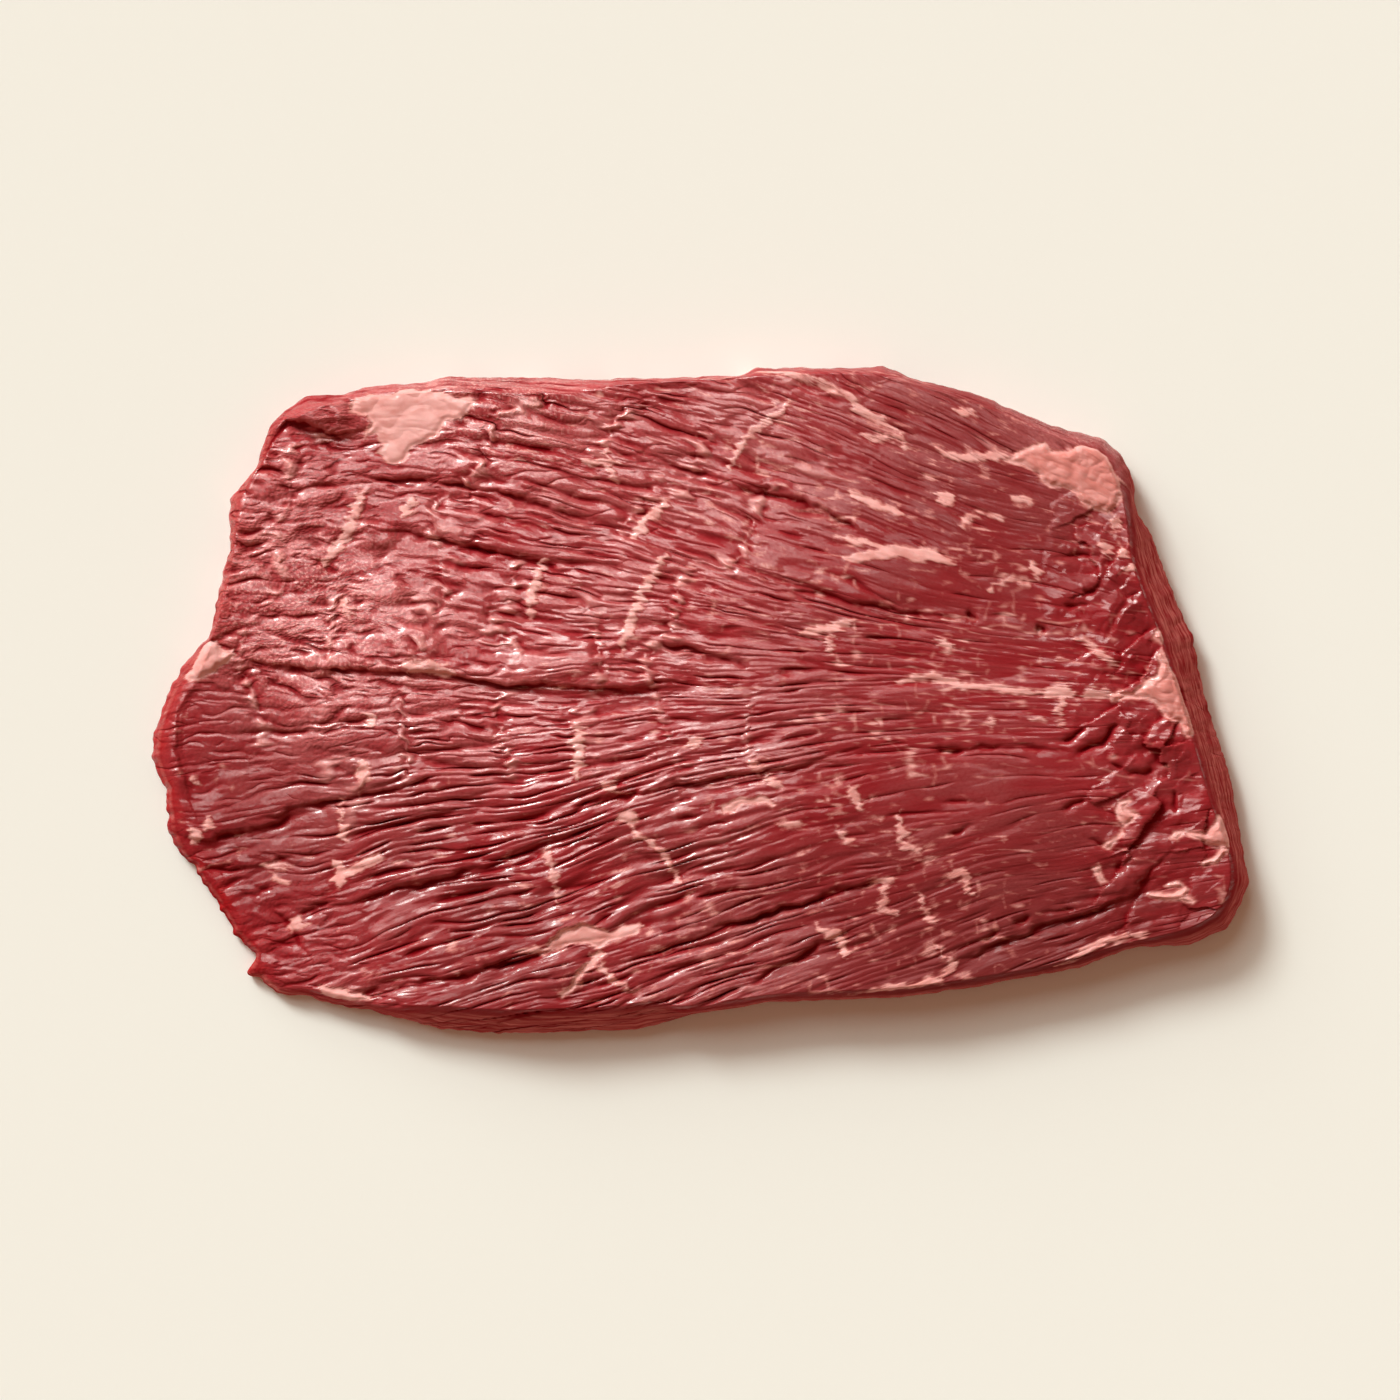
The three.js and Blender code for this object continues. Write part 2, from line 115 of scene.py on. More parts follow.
# Lines that the fibres follow, far side first: the distance across the fibres, then places
GRAIN_LINES = [
    (104, 100, 300, 400, 320, 600, 350, 800, 402, 950, 465, 1100, 520, 1300, 570),
    (54, 100, 468, 300, 474, 440, 484, 560, 508, 700, 548, 860, 600, 1000, 630, 1300, 672),
    (0, 100, 672, 300, 668, 430, 672, 560, 686, 860, 682, 1120, 695, 1300, 708),
    (-60, 100, 965, 340, 905, 430, 880, 560, 845, 700, 800, 860, 765, 1020, 748, 1300, 742),
    (-96, 100, 1130, 300, 1060, 450, 1010, 600, 965, 760, 915, 885, 882, 1000, 850, 1300, 822),
    (-146, 100, 1310, 450, 1190, 700, 1080, 850, 1020, 1000, 960, 1130, 915, 1300, 880),
]

# Bundles of fibres: length along, width across, height, and how strongly they stand out at
# places on the plan. Broader ones take over where the fibres draw together at the right.
BUNDLES = [(60, 9.5, 1.0), (30, 5.2, 0.5)]
BUNDLE_STRENGTH = [
    (200, 800, 0.4), (230, 880, 0.4), (300, 560, 0.45), (330, 640, 0.5), (270, 500, 0.5),
    (420, 800, 1.3), (620, 500, 1.1), (600, 900, 1.3), (820, 640, 0.9), (960, 450, 0.5),
    (900, 930, 0.7), (980, 700, 0.3), (980, 920, 0.6), (1000, 820, 0.3), (1060, 560, 0.25),
    (1150, 800, 0.4), (360, 960, 0.9), (940, 570, 0.45),
]
SWELL_SIZE = 55.0
SWELL_HEIGHT = 0.9

# Open splits along the fibres: depth, how far the far bank laps over the near one, places
SPLITS = {
    "middle seam": (1.5, 1.9, 240, 661, 300, 669, 430, 673, 500, 686, 620, 688, 720, 683),
    "far left fold": (3, 3.4, 259, 460, 268, 437, 285, 422, 305, 425, 330, 438, 368, 436),
    "far split": (1.8, 0.8, 345, 478, 440, 484, 500, 494, 585, 520),
    "long far split": (2.4, 1.2, 355, 540, 372, 529, 460, 545, 585, 576),
    "upper middle split": (1.8, 0.6, 640, 454, 690, 474, 722, 481),
    "open middle split": (2.6, 1, 742, 489, 800, 505, 862, 533),
    "right of middle": (1.5, 0.5, 765, 583, 860, 607, 960, 622),
    "over the seam": (2.2, 0.8, 640, 640, 700, 653, 745, 668),
    "left end split": (1.6, 0.6, 232, 733, 320, 731, 375, 716),
    "left flap split": (2.2, 0.8, 250, 822, 300, 809, 345, 799, 440, 782),
    "left lap": (2.4, 1.6, 172, 836, 215, 842, 262, 828, 300, 812),
    "left lower crease": (1.8, 0.8, 205, 866, 250, 872, 300, 858),
    "left rim fold": (0.4, -0.8, 200, 684, 184, 708, 180, 750, 192, 800),
    "left corner fold": (1.2, 0.5, 262, 905, 290, 925, 310, 955),
    "long near split": (2, 0.9, 340, 905, 440, 880, 545, 850),
    "middle near split": (2, 0.8, 562, 818, 585, 803, 700, 783, 830, 761),
    "near hollow": (2.4, 0.6, 395, 985, 470, 975, 560, 948),
    "near gap": (2.8, 0.8, 715, 928, 770, 914, 830, 891, 886, 881),
    "near edge gap": (2.6, 0.8, 755, 982, 790, 958, 845, 936),
    "right seam": (1.2, 0.3, 930, 750, 1020, 746, 1062, 753),
    "right end pit": (2.2, 0.4, 1075, 756, 1098, 742, 1112, 722),
    "near right fold": (2.2, 1, 960, 958, 1040, 926, 1130, 898, 1165, 850),
}
SPLIT_WIDTH = 2.4
# Cushions that bulge between the splits: place, half the length, half the width, height, tilt
CUSHIONS = [
    (562, 658, 17, 6, 1.1, 4), (415, 643, 9, 5, 1.1, -10), (380, 590, 9, 5, 0.9, 0),
    (470, 472, 8, 4, 0.6, 8), (378, 535, 7, 4, 1.1, 4), (318, 414, 11, 5, 1.6, -8),
    (640, 560, 9, 6, 0.8, -30), (575, 930, 10, 4, 0.8, 10), (900, 700, 12, 5, 0.6, 0),
    (1150, 730, 9, 8, 1.0, 0), (1160, 800, 8, 7, 0.9, 0), (560, 970, 10, 6, 0.9, 10),
]
LIP_REACH = 7.0
PIT_WIDTH = 0.55

# How far the lumps of the thick end slant, in degrees
LUMP_SLANT = 50.0
# Single fibres between the bundles: length along, width across, height. The creases between
# them are narrow, the tops a little rounded.
FIBRES = [(26, 2.9, 1.0), (15, 1.6, 0.3), (7, 0.9, 0.08)]
CREASE = 0.16
ROUNDED = 0.34
# Cross seams, where the fibres step sideways. They run round a point that the fibres fan from.
FAN_CENTRE = (960, 700)
SEAM_SPACING = 23.0
SEAM_STEP = 1.5
SEAM_RISE = 1.3

# Short pits and cracks: depth and places
PITS = [
    (2, 963, 617, 978, 620), (2, 1034, 629, 1046, 632), (1.8, 1050, 558, 1100, 558),
    (1.5, 735, 662, 750, 668), (1.5, 1062, 606, 1088, 608), (1.3, 1078, 594, 1090, 592),
    (0.6, 1066, 694, 1072, 690), (1.8, 1060, 742, 1085, 728), (1.4, 930, 750, 960, 749),
    (1.8, 1040, 912, 1070, 905), (1.6, 1010, 925, 1030, 914), (1.6, 980, 938, 1000, 928),
    (1.2, 1172, 790, 1172, 812), (1.3, 1105, 762, 1125, 775, 1155, 768),
    (1.2, 1060, 808, 1085, 800), (1.2, 1085, 836, 1110, 850, 1135, 842),
    (1.2, 1115, 870, 1128, 855), (1.2, 945, 835, 975, 822), (1, 940, 800, 990, 800),
    (1.6, 205, 640, 238, 648), (1.6, 255, 469, 275, 470, 305, 478),
    (1.3, 215, 888, 250, 880, 268, 870), (1.2, 240, 898, 262, 893, 272, 884),
    (1.4, 300, 912, 335, 902), (1, 290, 996, 330, 1001),
]

# How the surface changes over the plan: a pale dry film, where pale sheen is painted in too,
# crumpled skin, lumps, glossiness and a dusky, matte red
REGIONS = {
    "film_and_sheen": [
        (270, 500, 1), (285, 580, 1), (300, 620, 0.95), (420, 600, 0.85), (390, 480, 0.25),
        (560, 440, 0.7), (500, 585, 0.35), (560, 560, 0.4), (285, 670, 0.9), (640, 620, 0.5),
        (705, 580, 0.6), (520, 660, 0.6), (700, 420, 0.7), (760, 520, 0.5), (860, 430, 0.5),
        (700, 700, 0.35), (480, 720, 0.45), (330, 720, 0.6), (620, 740, 0.35), (560, 860, 0.12),
        (400, 860, 0.15), (320, 950, 0.45), (780, 640, 0.3), (900, 560, 0.1), (980, 640, 0.2),
        (1000, 800, 0.2), (900, 900, 0.1), (1060, 560, 0.05), (1150, 820, 0.15), (700, 940, 0.3),
        (460, 990, 0.15), (180, 780, 0.1), (1080, 900, 0), (200, 700, 0.2), (210, 860, 0),
        (250, 950, 0), (300, 408, 0.2), (258, 445, 0.2), (225, 530, 0.2), (270, 790, 0.3),
        (330, 770, 0.42), (250, 880, 0), (480, 390, 0.9), (540, 392, 0.8), (390, 420, 0.9),
        (640, 385, 0.3), (760, 385, 0.45), (915, 490, 0.05), (810, 580, 0.15), (1200, 850, 0.15),
        (1220, 760, 0.15), (1200, 940, 0.05), (1075, 425, 1), (1050, 500, 0.1), (1020, 860, 0.2),
    ],
    "crumple": [
        (300, 620, 1), (270, 560, 0.8), (340, 640, 0.8), (420, 640, 0.4), (300, 470, 0.7),
        (400, 460, 0.5), (560, 440, 0.25), (600, 700, 0), (900, 600, 0), (420, 850, 0),
        (200, 720, 0.3), (620, 560, 0.15), (460, 560, 0.3), (1000, 900, 0), (220, 800, 0.15),
        (230, 880, 0.3), (260, 940, 0.4), (560, 655, 0.4),
    ],
    "lumps": [
        (1130, 590, 1), (1110, 640, 0.7), (1150, 740, 1), (1130, 820, 1), (1190, 860, 0.5),
        (1100, 880, 0.7), (1000, 700, 0), (1040, 780, 0), (1030, 840, 0.1), (1010, 600, 0.2),
        (900, 800, 0), (980, 900, 0.2), (600, 700, 0), (900, 450, 0.1), (200, 860, 0.4),
        (230, 760, 0.3), (350, 800, 0),
    ],
    "gloss": [
        (180, 720, 0.6), (200, 780, 0.5), (220, 850, 0.5), (250, 920, 0.5), (420, 600, 0.6),
        (560, 560, 0.8), (300, 620, 0.5), (300, 500, 0.6), (620, 420, 0.8), (560, 680, 1),
        (420, 780, 0.9), (560, 860, 0.8), (450, 980, 0.5), (640, 960, 0.5), (700, 820, 0.8),
        (800, 900, 0.4), (900, 950, 0.1), (820, 560, 0.4), (950, 700, 0.3), (900, 800, 0.3),
        (1000, 620, 0.3), (1000, 800, 0.15), (1130, 590, 1), (1120, 640, 1), (1100, 700, 0.8),
        (1180, 800, 0.8), (1150, 860, 0.6), (1060, 900, 0.4),
    ],
    "dusk": [
        (1020, 850, 1), (1125, 850, 0.4), (1020, 940, 1.5), (915, 850, 0.7), (915, 940, 1.3),
        (810, 940, 0.9), (600, 940, 0.4), (1125, 760, 0.2), (285, 940, 0), (915, 760, 0.4),
        (1000, 670, 0.2), (915, 490, 1.2), (1020, 490, 1.2), (1010, 580, 0.9), (915, 530, 0.8),
        (1100, 930, 1.3), (500, 500, 0), (300, 600, 0), (500, 800, 0), (700, 600, 0),
        (200, 760, 0.4), (230, 880, 0.4), (810, 760, 0.4), (810, 670, 0.3), (400, 960, 0.4),
        (290, 850, 1.2), (390, 860, 0.4), (495, 940, 1.0), (810, 500, 0.3), (960, 520, 0.5),
        (820, 590, 0.5), (810, 450, 0.1), (1100, 600, 0.2), (1080, 480, 0.9),
    ],
}
# How many small flecks of fat there are between the fibres
MARBLED = [
    (1000, 560, 0.8), (900, 470, 0.7), (950, 660, 0.9), (860, 820, 0.8), (960, 900, 0.8),
    (1060, 520, 0.5), (1080, 930, 0.2), (780, 900, 0.6), (700, 700, 0.4), (560, 560, 0.4),
    (400, 600, 0), (420, 850, 0.3), (1050, 800, 0.35), (1150, 800, 0.5), (250, 800, 0.1),
    (600, 420, 0.5), (800, 600, 0.8),
]
REGION_REACH = 22.0
# The highest level of squeezing, in doublings, just under a whole one
MOST_SQUEEZED = 1.999

# Fat with a face of its own, as outlines
FAT = [
    [352, 410, 356, 399, 366, 397, 370, 393, 395, 395, 402, 386, 415, 384, 420, 389, 432, 388,
     436, 394, 452, 396, 470, 400, 478, 404, 472, 412, 462, 420, 448, 423, 444, 430, 440, 436,
     426, 444, 416, 448, 405, 464, 398, 467, 388, 462, 380, 455, 383, 445, 378, 436, 366, 440,
     372, 424, 368, 416, 352, 414],
    [1000, 462, 1018, 452, 1030, 446, 1042, 444, 1050, 452, 1064, 453, 1072, 448, 1082, 444, 1098,
     446, 1108, 452, 1113, 466, 1119, 485, 1120, 497, 1113, 508, 1104, 515, 1096, 512, 1086, 509,
     1077, 505, 1072, 496, 1062, 490, 1048, 491, 1040, 484, 1034, 476, 1022, 468, 1008, 465],
    [1150, 632, 1157, 625, 1163, 630, 1164, 640, 1158, 645, 1148, 640],
    [1152, 655, 1158, 648, 1163, 660, 1168, 668, 1178, 672, 1184, 684, 1188, 700, 1195, 715, 1200,
     733, 1190, 735, 1183, 738, 1177, 733, 1175, 722, 1168, 722, 1160, 716, 1154, 706, 1140, 700,
     1122, 698, 1108, 702, 1104, 694, 1114, 689, 1128, 692, 1140, 682, 1150, 676, 1154, 665],
    [1203, 832, 1210, 820, 1218, 812, 1226, 811, 1232, 822, 1236, 838, 1232, 848, 1224, 846, 1210,
     845, 1196, 839, 1182, 834, 1172, 840, 1165, 838, 1168, 830, 1180, 830, 1195, 829],
    [1195, 862, 1208, 857, 1214, 850, 1216, 845, 1230, 848, 1228, 853, 1219, 855, 1213, 862, 1200,
     866],
    [1144, 893, 1155, 891, 1170, 891, 1180, 886, 1162, 885, 1166, 881, 1176, 880, 1186, 888, 1184,
     893, 1192, 898, 1190, 902, 1178, 900, 1160, 898, 1146, 896],
    [208, 640, 216, 642, 226, 650, 236, 650, 238, 656, 230, 664, 220, 668, 212, 676, 200, 681,
     188, 680, 180, 676, 190, 668, 198, 652, 202, 642],
    [548, 945, 552, 936, 562, 928, 574, 925, 582, 920, 590, 922, 600, 926, 612, 930, 622, 924,
     640, 922, 646, 926, 632, 934, 618, 938, 608, 942, 600, 946, 588, 943, 574, 944, 560, 950,
     550, 950],
    [320, 986, 330, 985, 340, 987, 352, 992, 362, 992, 372, 1000, 358, 1001, 346, 1003, 334, 1001,
     324, 996, 318, 990],
    [600, 948, 590, 958, 578, 970, 570, 984, 560, 992, 562, 998, 574, 990, 584, 974, 596, 963,
     606, 953],
    [722, 806, 730, 802, 738, 798, 750, 797, 760, 793, 766, 797, 778, 802, 772, 806, 762, 804,
     752, 803, 742, 806, 732, 812, 724, 812],
    [620, 812, 628, 808, 636, 812, 638, 820, 632, 826, 626, 822, 618, 818],
    [1114, 800, 1125, 797, 1128, 800, 1122, 806, 1135, 813, 1128, 822, 1120, 828, 1114, 820, 1112,
     810],
    [1102, 840, 1112, 834, 1119, 827, 1122, 832, 1113, 840, 1107, 848, 1100, 846],
    [1088, 866, 1096, 862, 1098, 870, 1104, 880, 1098, 884, 1092, 875],
]

# Veins of fat between the fibres: half the width, then places
VEINS = [
    (0.7, 895, 682, 930, 676, 960, 685, 1000, 689, 1040, 694),
    (1.2, 1042, 694, 1055, 691, 1072, 694), (0.9, 1078, 695, 1106, 694),
    (0.7, 1060, 697, 1054, 714), (0.4, 990, 718, 986, 728), (0.4, 1030, 720, 1045, 720),
    (0.4, 1055, 718, 1060, 726), (0.8, 936, 450, 950, 458, 975, 460, 1005, 458),
    (0.8, 958, 412, 972, 416), (0.7, 1012, 500, 1030, 506), (1.2, 938, 496, 948, 505),
    (0.5, 962, 530, 962, 522, 970, 518, 978, 520), (0.3, 975, 510, 1000, 520),
    (0.7, 1030, 565, 1038, 578), (0.4, 985, 593, 995, 585, 1010, 581, 1028, 587),
    (0.6, 1095, 547, 1103, 550, 1105, 560), (0.5, 940, 616, 965, 620),
    (0.6, 1070, 637, 1085, 641, 1090, 650, 1112, 665), (0.3, 1052, 660, 1062, 659),
    (0.9, 1112, 520, 1114, 528), (0.8, 1118, 550, 1120, 558), (0.9, 1120, 570, 1134, 567),
    (1.0, 940, 640, 946, 652), (0.6, 862, 438, 895, 440), (0.5, 895, 430, 903, 450),
    (0.7, 758, 370, 790, 375, 820, 385, 850, 400, 855, 410, 880, 425, 900, 435),
    (1.2, 842, 561, 870, 557, 900, 553, 925, 556, 950, 565), (0.5, 842, 540, 900, 552),
    (0.8, 900, 515, 870, 505, 850, 495), (0.9, 668, 505, 650, 520, 632, 540),
    (0.8, 668, 555, 650, 580, 635, 615, 620, 655), (0.6, 605, 445, 616, 485),
    (0.6, 585, 463, 620, 465), (0.6, 730, 470, 738, 455, 745, 440, 770, 420, 790, 405),
    (1.0, 322, 572, 335, 552, 352, 530, 360, 502, 364, 490), (1.0, 405, 515, 420, 500),
    (0.9, 345, 600, 352, 620), (1.2, 405, 666, 430, 667, 455, 673),
    (0.9, 545, 560, 540, 575, 535, 590, 530, 620), (1.1, 582, 725, 578, 745, 580, 765, 575, 780),
    (0.5, 548, 845, 553, 870, 560, 905), (0.7, 632, 826, 640, 835, 660, 848, 680, 880),
    (0.5, 602, 962, 612, 978, 630, 987), (0.5, 345, 800, 342, 820, 347, 840),
    (1.2, 335, 860, 340, 872, 340, 885), (0.8, 342, 875, 360, 868, 380, 856),
    (1.2, 370, 715, 375, 725), (1.0, 365, 760, 366, 785), (1.2, 688, 745, 700, 738),
    (0.8, 748, 762, 758, 765), (0.8, 605, 783, 615, 790), (0.8, 765, 775, 780, 785),
    (0.6, 775, 825, 805, 823), (0.9, 850, 785, 858, 808), (0.6, 898, 810, 902, 845, 920, 850),
    (0.6, 835, 830, 850, 842), (0.9, 815, 925, 838, 935, 845, 955), (0.6, 868, 880, 890, 878),
    (0.6, 882, 880, 880, 905, 895, 912), (0.6, 915, 890, 925, 915, 935, 920),
    (0.7, 945, 875, 960, 868, 968, 892), (0.6, 935, 945, 950, 962, 940, 978, 900, 985, 850, 995),
    (0.7, 1145, 932, 1110, 937, 1082, 948, 1070, 960, 1055, 970), (0.6, 520, 950, 550, 948),
    (1.0, 585, 1022, 618, 1026), (0.8, 800, 635, 830, 630, 850, 622), (0.5, 830, 632, 828, 655),
    (1.3, 288, 925, 305, 922), (0.5, 262, 865, 290, 868), (0.5, 272, 873, 290, 885),
    (1.2, 190, 835, 200, 838), (0.6, 205, 830, 215, 815), (0.5, 190, 775, 200, 785),
]
FAT_RISE = 1.1
# A fat patch is in lobes near the ends of the slab: the middle it is far from, and how far
LOBED_MIDDLE = -10
LOBED_FROM = (90, 110)
# How far outside a patch or vein its depth is still worked out, and the depth beyond
FAT_REACH = 4.0

# Layers that show in a flat wall, the mean step between columns round the edge, and how many
# steps of the mesh round a place say whether it is hollow
STRATA = 1.0
MEAN_STEP = 0.42
HOLLOW_STEPS = 5
# What the material is told on the sole
SOLE_FACTS = {"rim": 20, "fat": -4, "film_and_sheen": 0.3, "dusk": 0.5}
# The map for baking: how far the edge unrolls round the upper face, the size of its two charts,
# and the margin of the lower one
UNROLLED = 12.0
UPPER_CHART = 0.97
UNDER_CHART = 0.36
CHART_MARGIN = 0.01

# Colours as they show on a screen, 0 to 255 a channel
FLOOR_COLOUR = (245, 245, 240)
# DEEP_RED is the meat's dark tone, and also the painted shade in hollows and at the bottoms of
# creases
DEEP_RED = (120, 6, 16)
MEAT_RED = (150, 16, 28)
MEAT_LIGHT = (168, 38, 46)
DUSKY_RED = (122, 40, 41)
# The pale film, and the pale sheen painted over it
FILM_AND_SHEEN_PINK = (232, 138, 138)
# The glow of the thin left end as if lit through, painted: bright red, and paler at the outline
RIM_GLOW_RED = (178, 20, 24)
RIM_GLOW_PALE = (196, 88, 84)
# The strata of the cut walls, which go only on walls turned away from the key light, as painted
# shade
WALL_RED = (150, 40, 44)
WALL_BROWN = (214, 122, 116)
# SEAM_PINK is the colour of the seam tissue, and also of painted sparkle on the film
SEAM_PINK = (240, 168, 164)
FAT_PINK = (246, 184, 180)
FAT_SHADE = (212, 130, 122)

# The studio, for each channel: how bright the floor is lit, and how much of it is left in shadow
LIT = (1.0, 0.93, 0.84)
FILL = (0.29, 0.163, 0.102)
# How much of the fill comes from straight above, against the horizon
ZENITH = 0.8
HORIZON = 1.4
KEY_AZIMUTH = 125.0
KEY_ELEVATION = 33.5
# The key is a small light with a broad soft one round it: angle across and share of the key.
# The sheen is a soft light above them that shows only as gloss.
KEY_LIGHTS = [(16.0, 0.55), (56.0, 0.45)]
SHEEN_ELEVATION = 56.0
SHEEN_ANGLE = 60.0
SHEEN_SHARE = 0.85
SHEEN_COLOUR = (1.0, 0.88, 0.83)
# In metres: the width of the floor and the height of the camera
FLOOR_SIZE = 6.0
CAMERA_HEIGHT = 1.5
# In millimetres: the height at which the photo's scale holds, and the camera's sensor
RIM_HEIGHT = 5.5
SENSOR = 36.0


def on_plan(pixels):
    """Places on the plan in millimetres, from pixels listed as x, y, x, y and so on."""
    return (np.reshape(pixels, (-1, 2)) - PHOTO_CENTRE) * MM_PER_PIXEL * (1, -1)


def lerp(a, b, share):
    return a + (b - a) * share


def smoothstep(value, low, high):
    t = np.clip((value - low) / (high - low), 0, 1)
    return t * t * (3 - 2 * t)


def bell(distance, width):
    return np.exp(-((distance / width) ** 2))


def blended(stations, reach, place):
    """The mean of the stations' values at each place, the nearest station counting most."""
    total = 0
    weights = 0
    for x, y, value in stations:
        weight = bell(np.hypot(*(place - on_plan((x, y))).T), reach) + 1e-9
        total = total + weight * value
        weights = weights + weight
    return total / weights


def scattered(i, j, factors):
    """A number from 0 to 1 for each pair of whole ones, without a pattern."""
    mixed = np.sin(i * factors[0] + j * factors[1]) * SCATTER
    return mixed - np.floor(mixed)


def noise(x, y):
    """Smooth noise from -1 to 1, with a feature about every unit."""
    column = np.floor(x)
    row = np.floor(y)

    def slope(i, j):
        angle = 2 * math.pi * scattered(i, j, FACTORS[0])
        return np.cos(angle) * (x - i) + np.sin(angle) * (y - j)

    def ease(t):
        return t * t * t * (t * (t * 6 - 15) + 10)

    across = ease(x - column)
    far = lerp(slope(column, row), slope(column + 1, row), across)
    near = lerp(slope(column, row + 1), slope(column + 1, row + 1), across)
    return 1.4 * lerp(far, near, ease(y - row))


def wander(*pairs):
    """Sideways steps for places, one noise for each way."""
    return np.column_stack([noise(*pair) for pair in pairs])


def tapered(along):
    """1 on most of a line, less near its ends."""
    return np.minimum(1, 4 * np.minimum(along, 1 - along) + 0.2)


def turned(x, y, degrees):
    """Distances ahead and beside, seen from an angle on the plan."""
    turn = math.radians(degrees)
    return x * math.cos(turn) + y * math.sin(turn), y * math.cos(turn) - x * math.sin(turn)


def knobs(x, y):
    """Cells about one unit across: the creases between them, from 0 to 1, and how each leans."""
    column = np.floor(x)
    row = np.floor(y)
    nearest = np.full(len(x), 9.0)
    second = np.full(len(x), 9.0)
    lean = np.zeros(len(x))
    for di in (-1, 0, 1):
        for dj in (-1, 0, 1):
            i, j = column + di, row + dj
            a, b = (scattered(i, j, factors) for factors in FACTORS)
            dx, dy = x - i - a, y - j - b
            distance = np.hypot(dx, dy)
            closer = distance < nearest
            second = np.where(closer, nearest, np.minimum(second, distance))
            lean = np.where(closer, dx * np.cos(9 * a) + dy * np.sin(9 * a), lean)
            nearest = np.where(closer, distance, nearest)
    return 1 - smoothstep(second - nearest, 0, 0.5), lean


def height_of_line(points, x):
    """Height of a line on the plan at each x, with smooth easing between its points."""
    px, py = points.T
    last = len(points) - 1
    i = np.clip(np.searchsorted(px, x, side="left") - 1, 0, last - 1)
    before = np.maximum(i - 1, 0)
    after = np.minimum(i + 2, last)
    run = px[i + 1] - px[i]
    t = (x - px[i]) / run
    start = (py[i + 1] - py[before]) / (px[i + 1] - px[before]) * run
    end = (py[after] - py[i]) / (px[after] - px[i]) * run
    t2, t3 = t * t, t * t * t
    return (
        (2 * t3 - 3 * t2 + 1) * py[i] + (t3 - 2 * t2 + t) * start
        + (3 * t2 - 2 * t3) * py[i + 1] + (t3 - t2) * end
    )


def across_grain(place):
    """Distance across the fibres from the middle seam, the same all along one fibre, and how
    many millimetres of it are squeezed into one of the plan."""
    x, y = place.T
    names = np.array([across for across, *_ in GRAIN_LINES], float)
    heights = np.array([height_of_line(on_plan(line), x) for _, *line in GRAIN_LINES])
    gaps = np.diff(names)[:, None] / np.diff(heights, axis=0)
    at_line = np.concatenate([gaps[:1], (gaps[:-1] + gaps[1:]) / 2, gaps[-1:]])
    below = (y[None, :] < heights[1:-1]).sum(0)
    column = np.arange(len(x))
    upper, lower = heights[below, column], heights[below + 1, column]
    share = (upper - y) / (upper - lower)
    squeeze = lerp(at_line[below, column], at_line[below + 1, column], np.clip(share, 0, 1))
    return lerp(names[below], names[below + 1], share), squeeze


def nearest_on(points, place):
    """Distance from a chain of points, the bank (1 on the far one) and how far along it, 0 to 1."""
    lengths = np.hypot(*np.diff(points, axis=0).T)
    best = np.full(len(place), np.inf)
    bank = np.zeros(len(place))
    along = np.zeros(len(place))
    passed = 0
    for a, b, length in zip(points[:-1], points[1:], lengths):
        run = b - a
        offset = place - a
        share = np.clip(offset @ run / length**2, 0, 1)
        distance = np.hypot(*(offset - share[:, None] * run).T)
        closer = distance < best
        best = np.where(closer, distance, best)
        side = np.sign(run[0] * offset[:, 1] - run[1] * offset[:, 0])
        bank = np.where(closer, side, bank)
        along = np.where(closer, (passed + share * length) / lengths.sum(), along)
        passed += length
    return best, bank, along


def close_to(points, reach, place):
    """Which places are within reach of the box round some points."""
    low, high = points.min(0) - reach, points.max(0) + reach
    return np.nonzero(((place > low) & (place < high)).all(1))[0]


def trace_outline():
    """The outline as closely spaced points, with the index at which each side starts."""
    sides = [on_plan(side) for side in (FAR_SIDE, RIGHT_END, NEAR_SIDE, LEFT_END)]
    corners = np.concatenate(sides)
    first = np.cumsum([0] + [len(side) for side in sides[:-1]])
    samples = []
    starts = []
    for i, corner in enumerate(corners):
        if i in first:
            starts.append(len(samples))
        run = corners[(i + 1) % len(corners)] - corner
        count = max(1, round(np.hypot(*run) / SAMPLE_STEP))
        samples.extend(corner + run * k / count for k in range(count))
    return np.array(samples), starts


def softened(points, softness):
    """A closed chain of points, each the mean of its neighbours within about softness."""
    reach = math.ceil(3 * softness / SAMPLE_STEP)
    steps = np.arange(-reach, reach + 1)
    weights = bell(steps * SAMPLE_STEP, softness * math.sqrt(2))
    mean = sum(w * np.roll(points, -k, axis=0) for k, w in zip(steps, weights))
    return mean / weights.sum()


def at_index(chain, index):
    """The points of a closed chain at indices that need not be whole."""
    low = np.floor(index).astype(int)
    share = (index - low)[:, None]
    return lerp(chain[low % len(chain)], chain[(low + 1) % len(chain)], share)


def edge_columns():
    """Round the slab: places on the outline, directions out of it, places on the edge of the
    upper face, which lies in from the outline by the roll of the edge, and how far the edge is
    a flat wall."""
    samples, starts = trace_outline()
    outline = softened(samples, CORNER_SOFTNESS)
    inner = softened(samples, INNER_SOFTNESS)
    ends = starts[1:] + [len(samples)]
    steps = [STEPS_ALONG, STEPS_ACROSS, STEPS_ALONG, STEPS_ACROSS]
    index = np.concatenate(
        [np.linspace(*span, endpoint=False) for span in zip(starts, ends, steps)]
    )
    run = at_index(inner, index + 2) - at_index(inner, index - 2)
    run /= np.hypot(*run.T)[:, None]
    out = np.stack([-run[:, 1], run[:, 0]], axis=1)
    rim = at_index(outline, index)
    torn = sum(height * noise(*(rim / size).T) for size, height in EDGE_WAVES)
    rim = rim + out * (torn * blended(TORN, EDGE_ROLL_REACH, rim))[:, None]
    roll = blended(EDGE_ROLL, EDGE_ROLL_REACH, rim)
    cut_off = blended(EDGE_WALL, EDGE_ROLL_REACH, rim)
    return rim, out, at_index(inner, index) - out * roll[:, None], cut_off


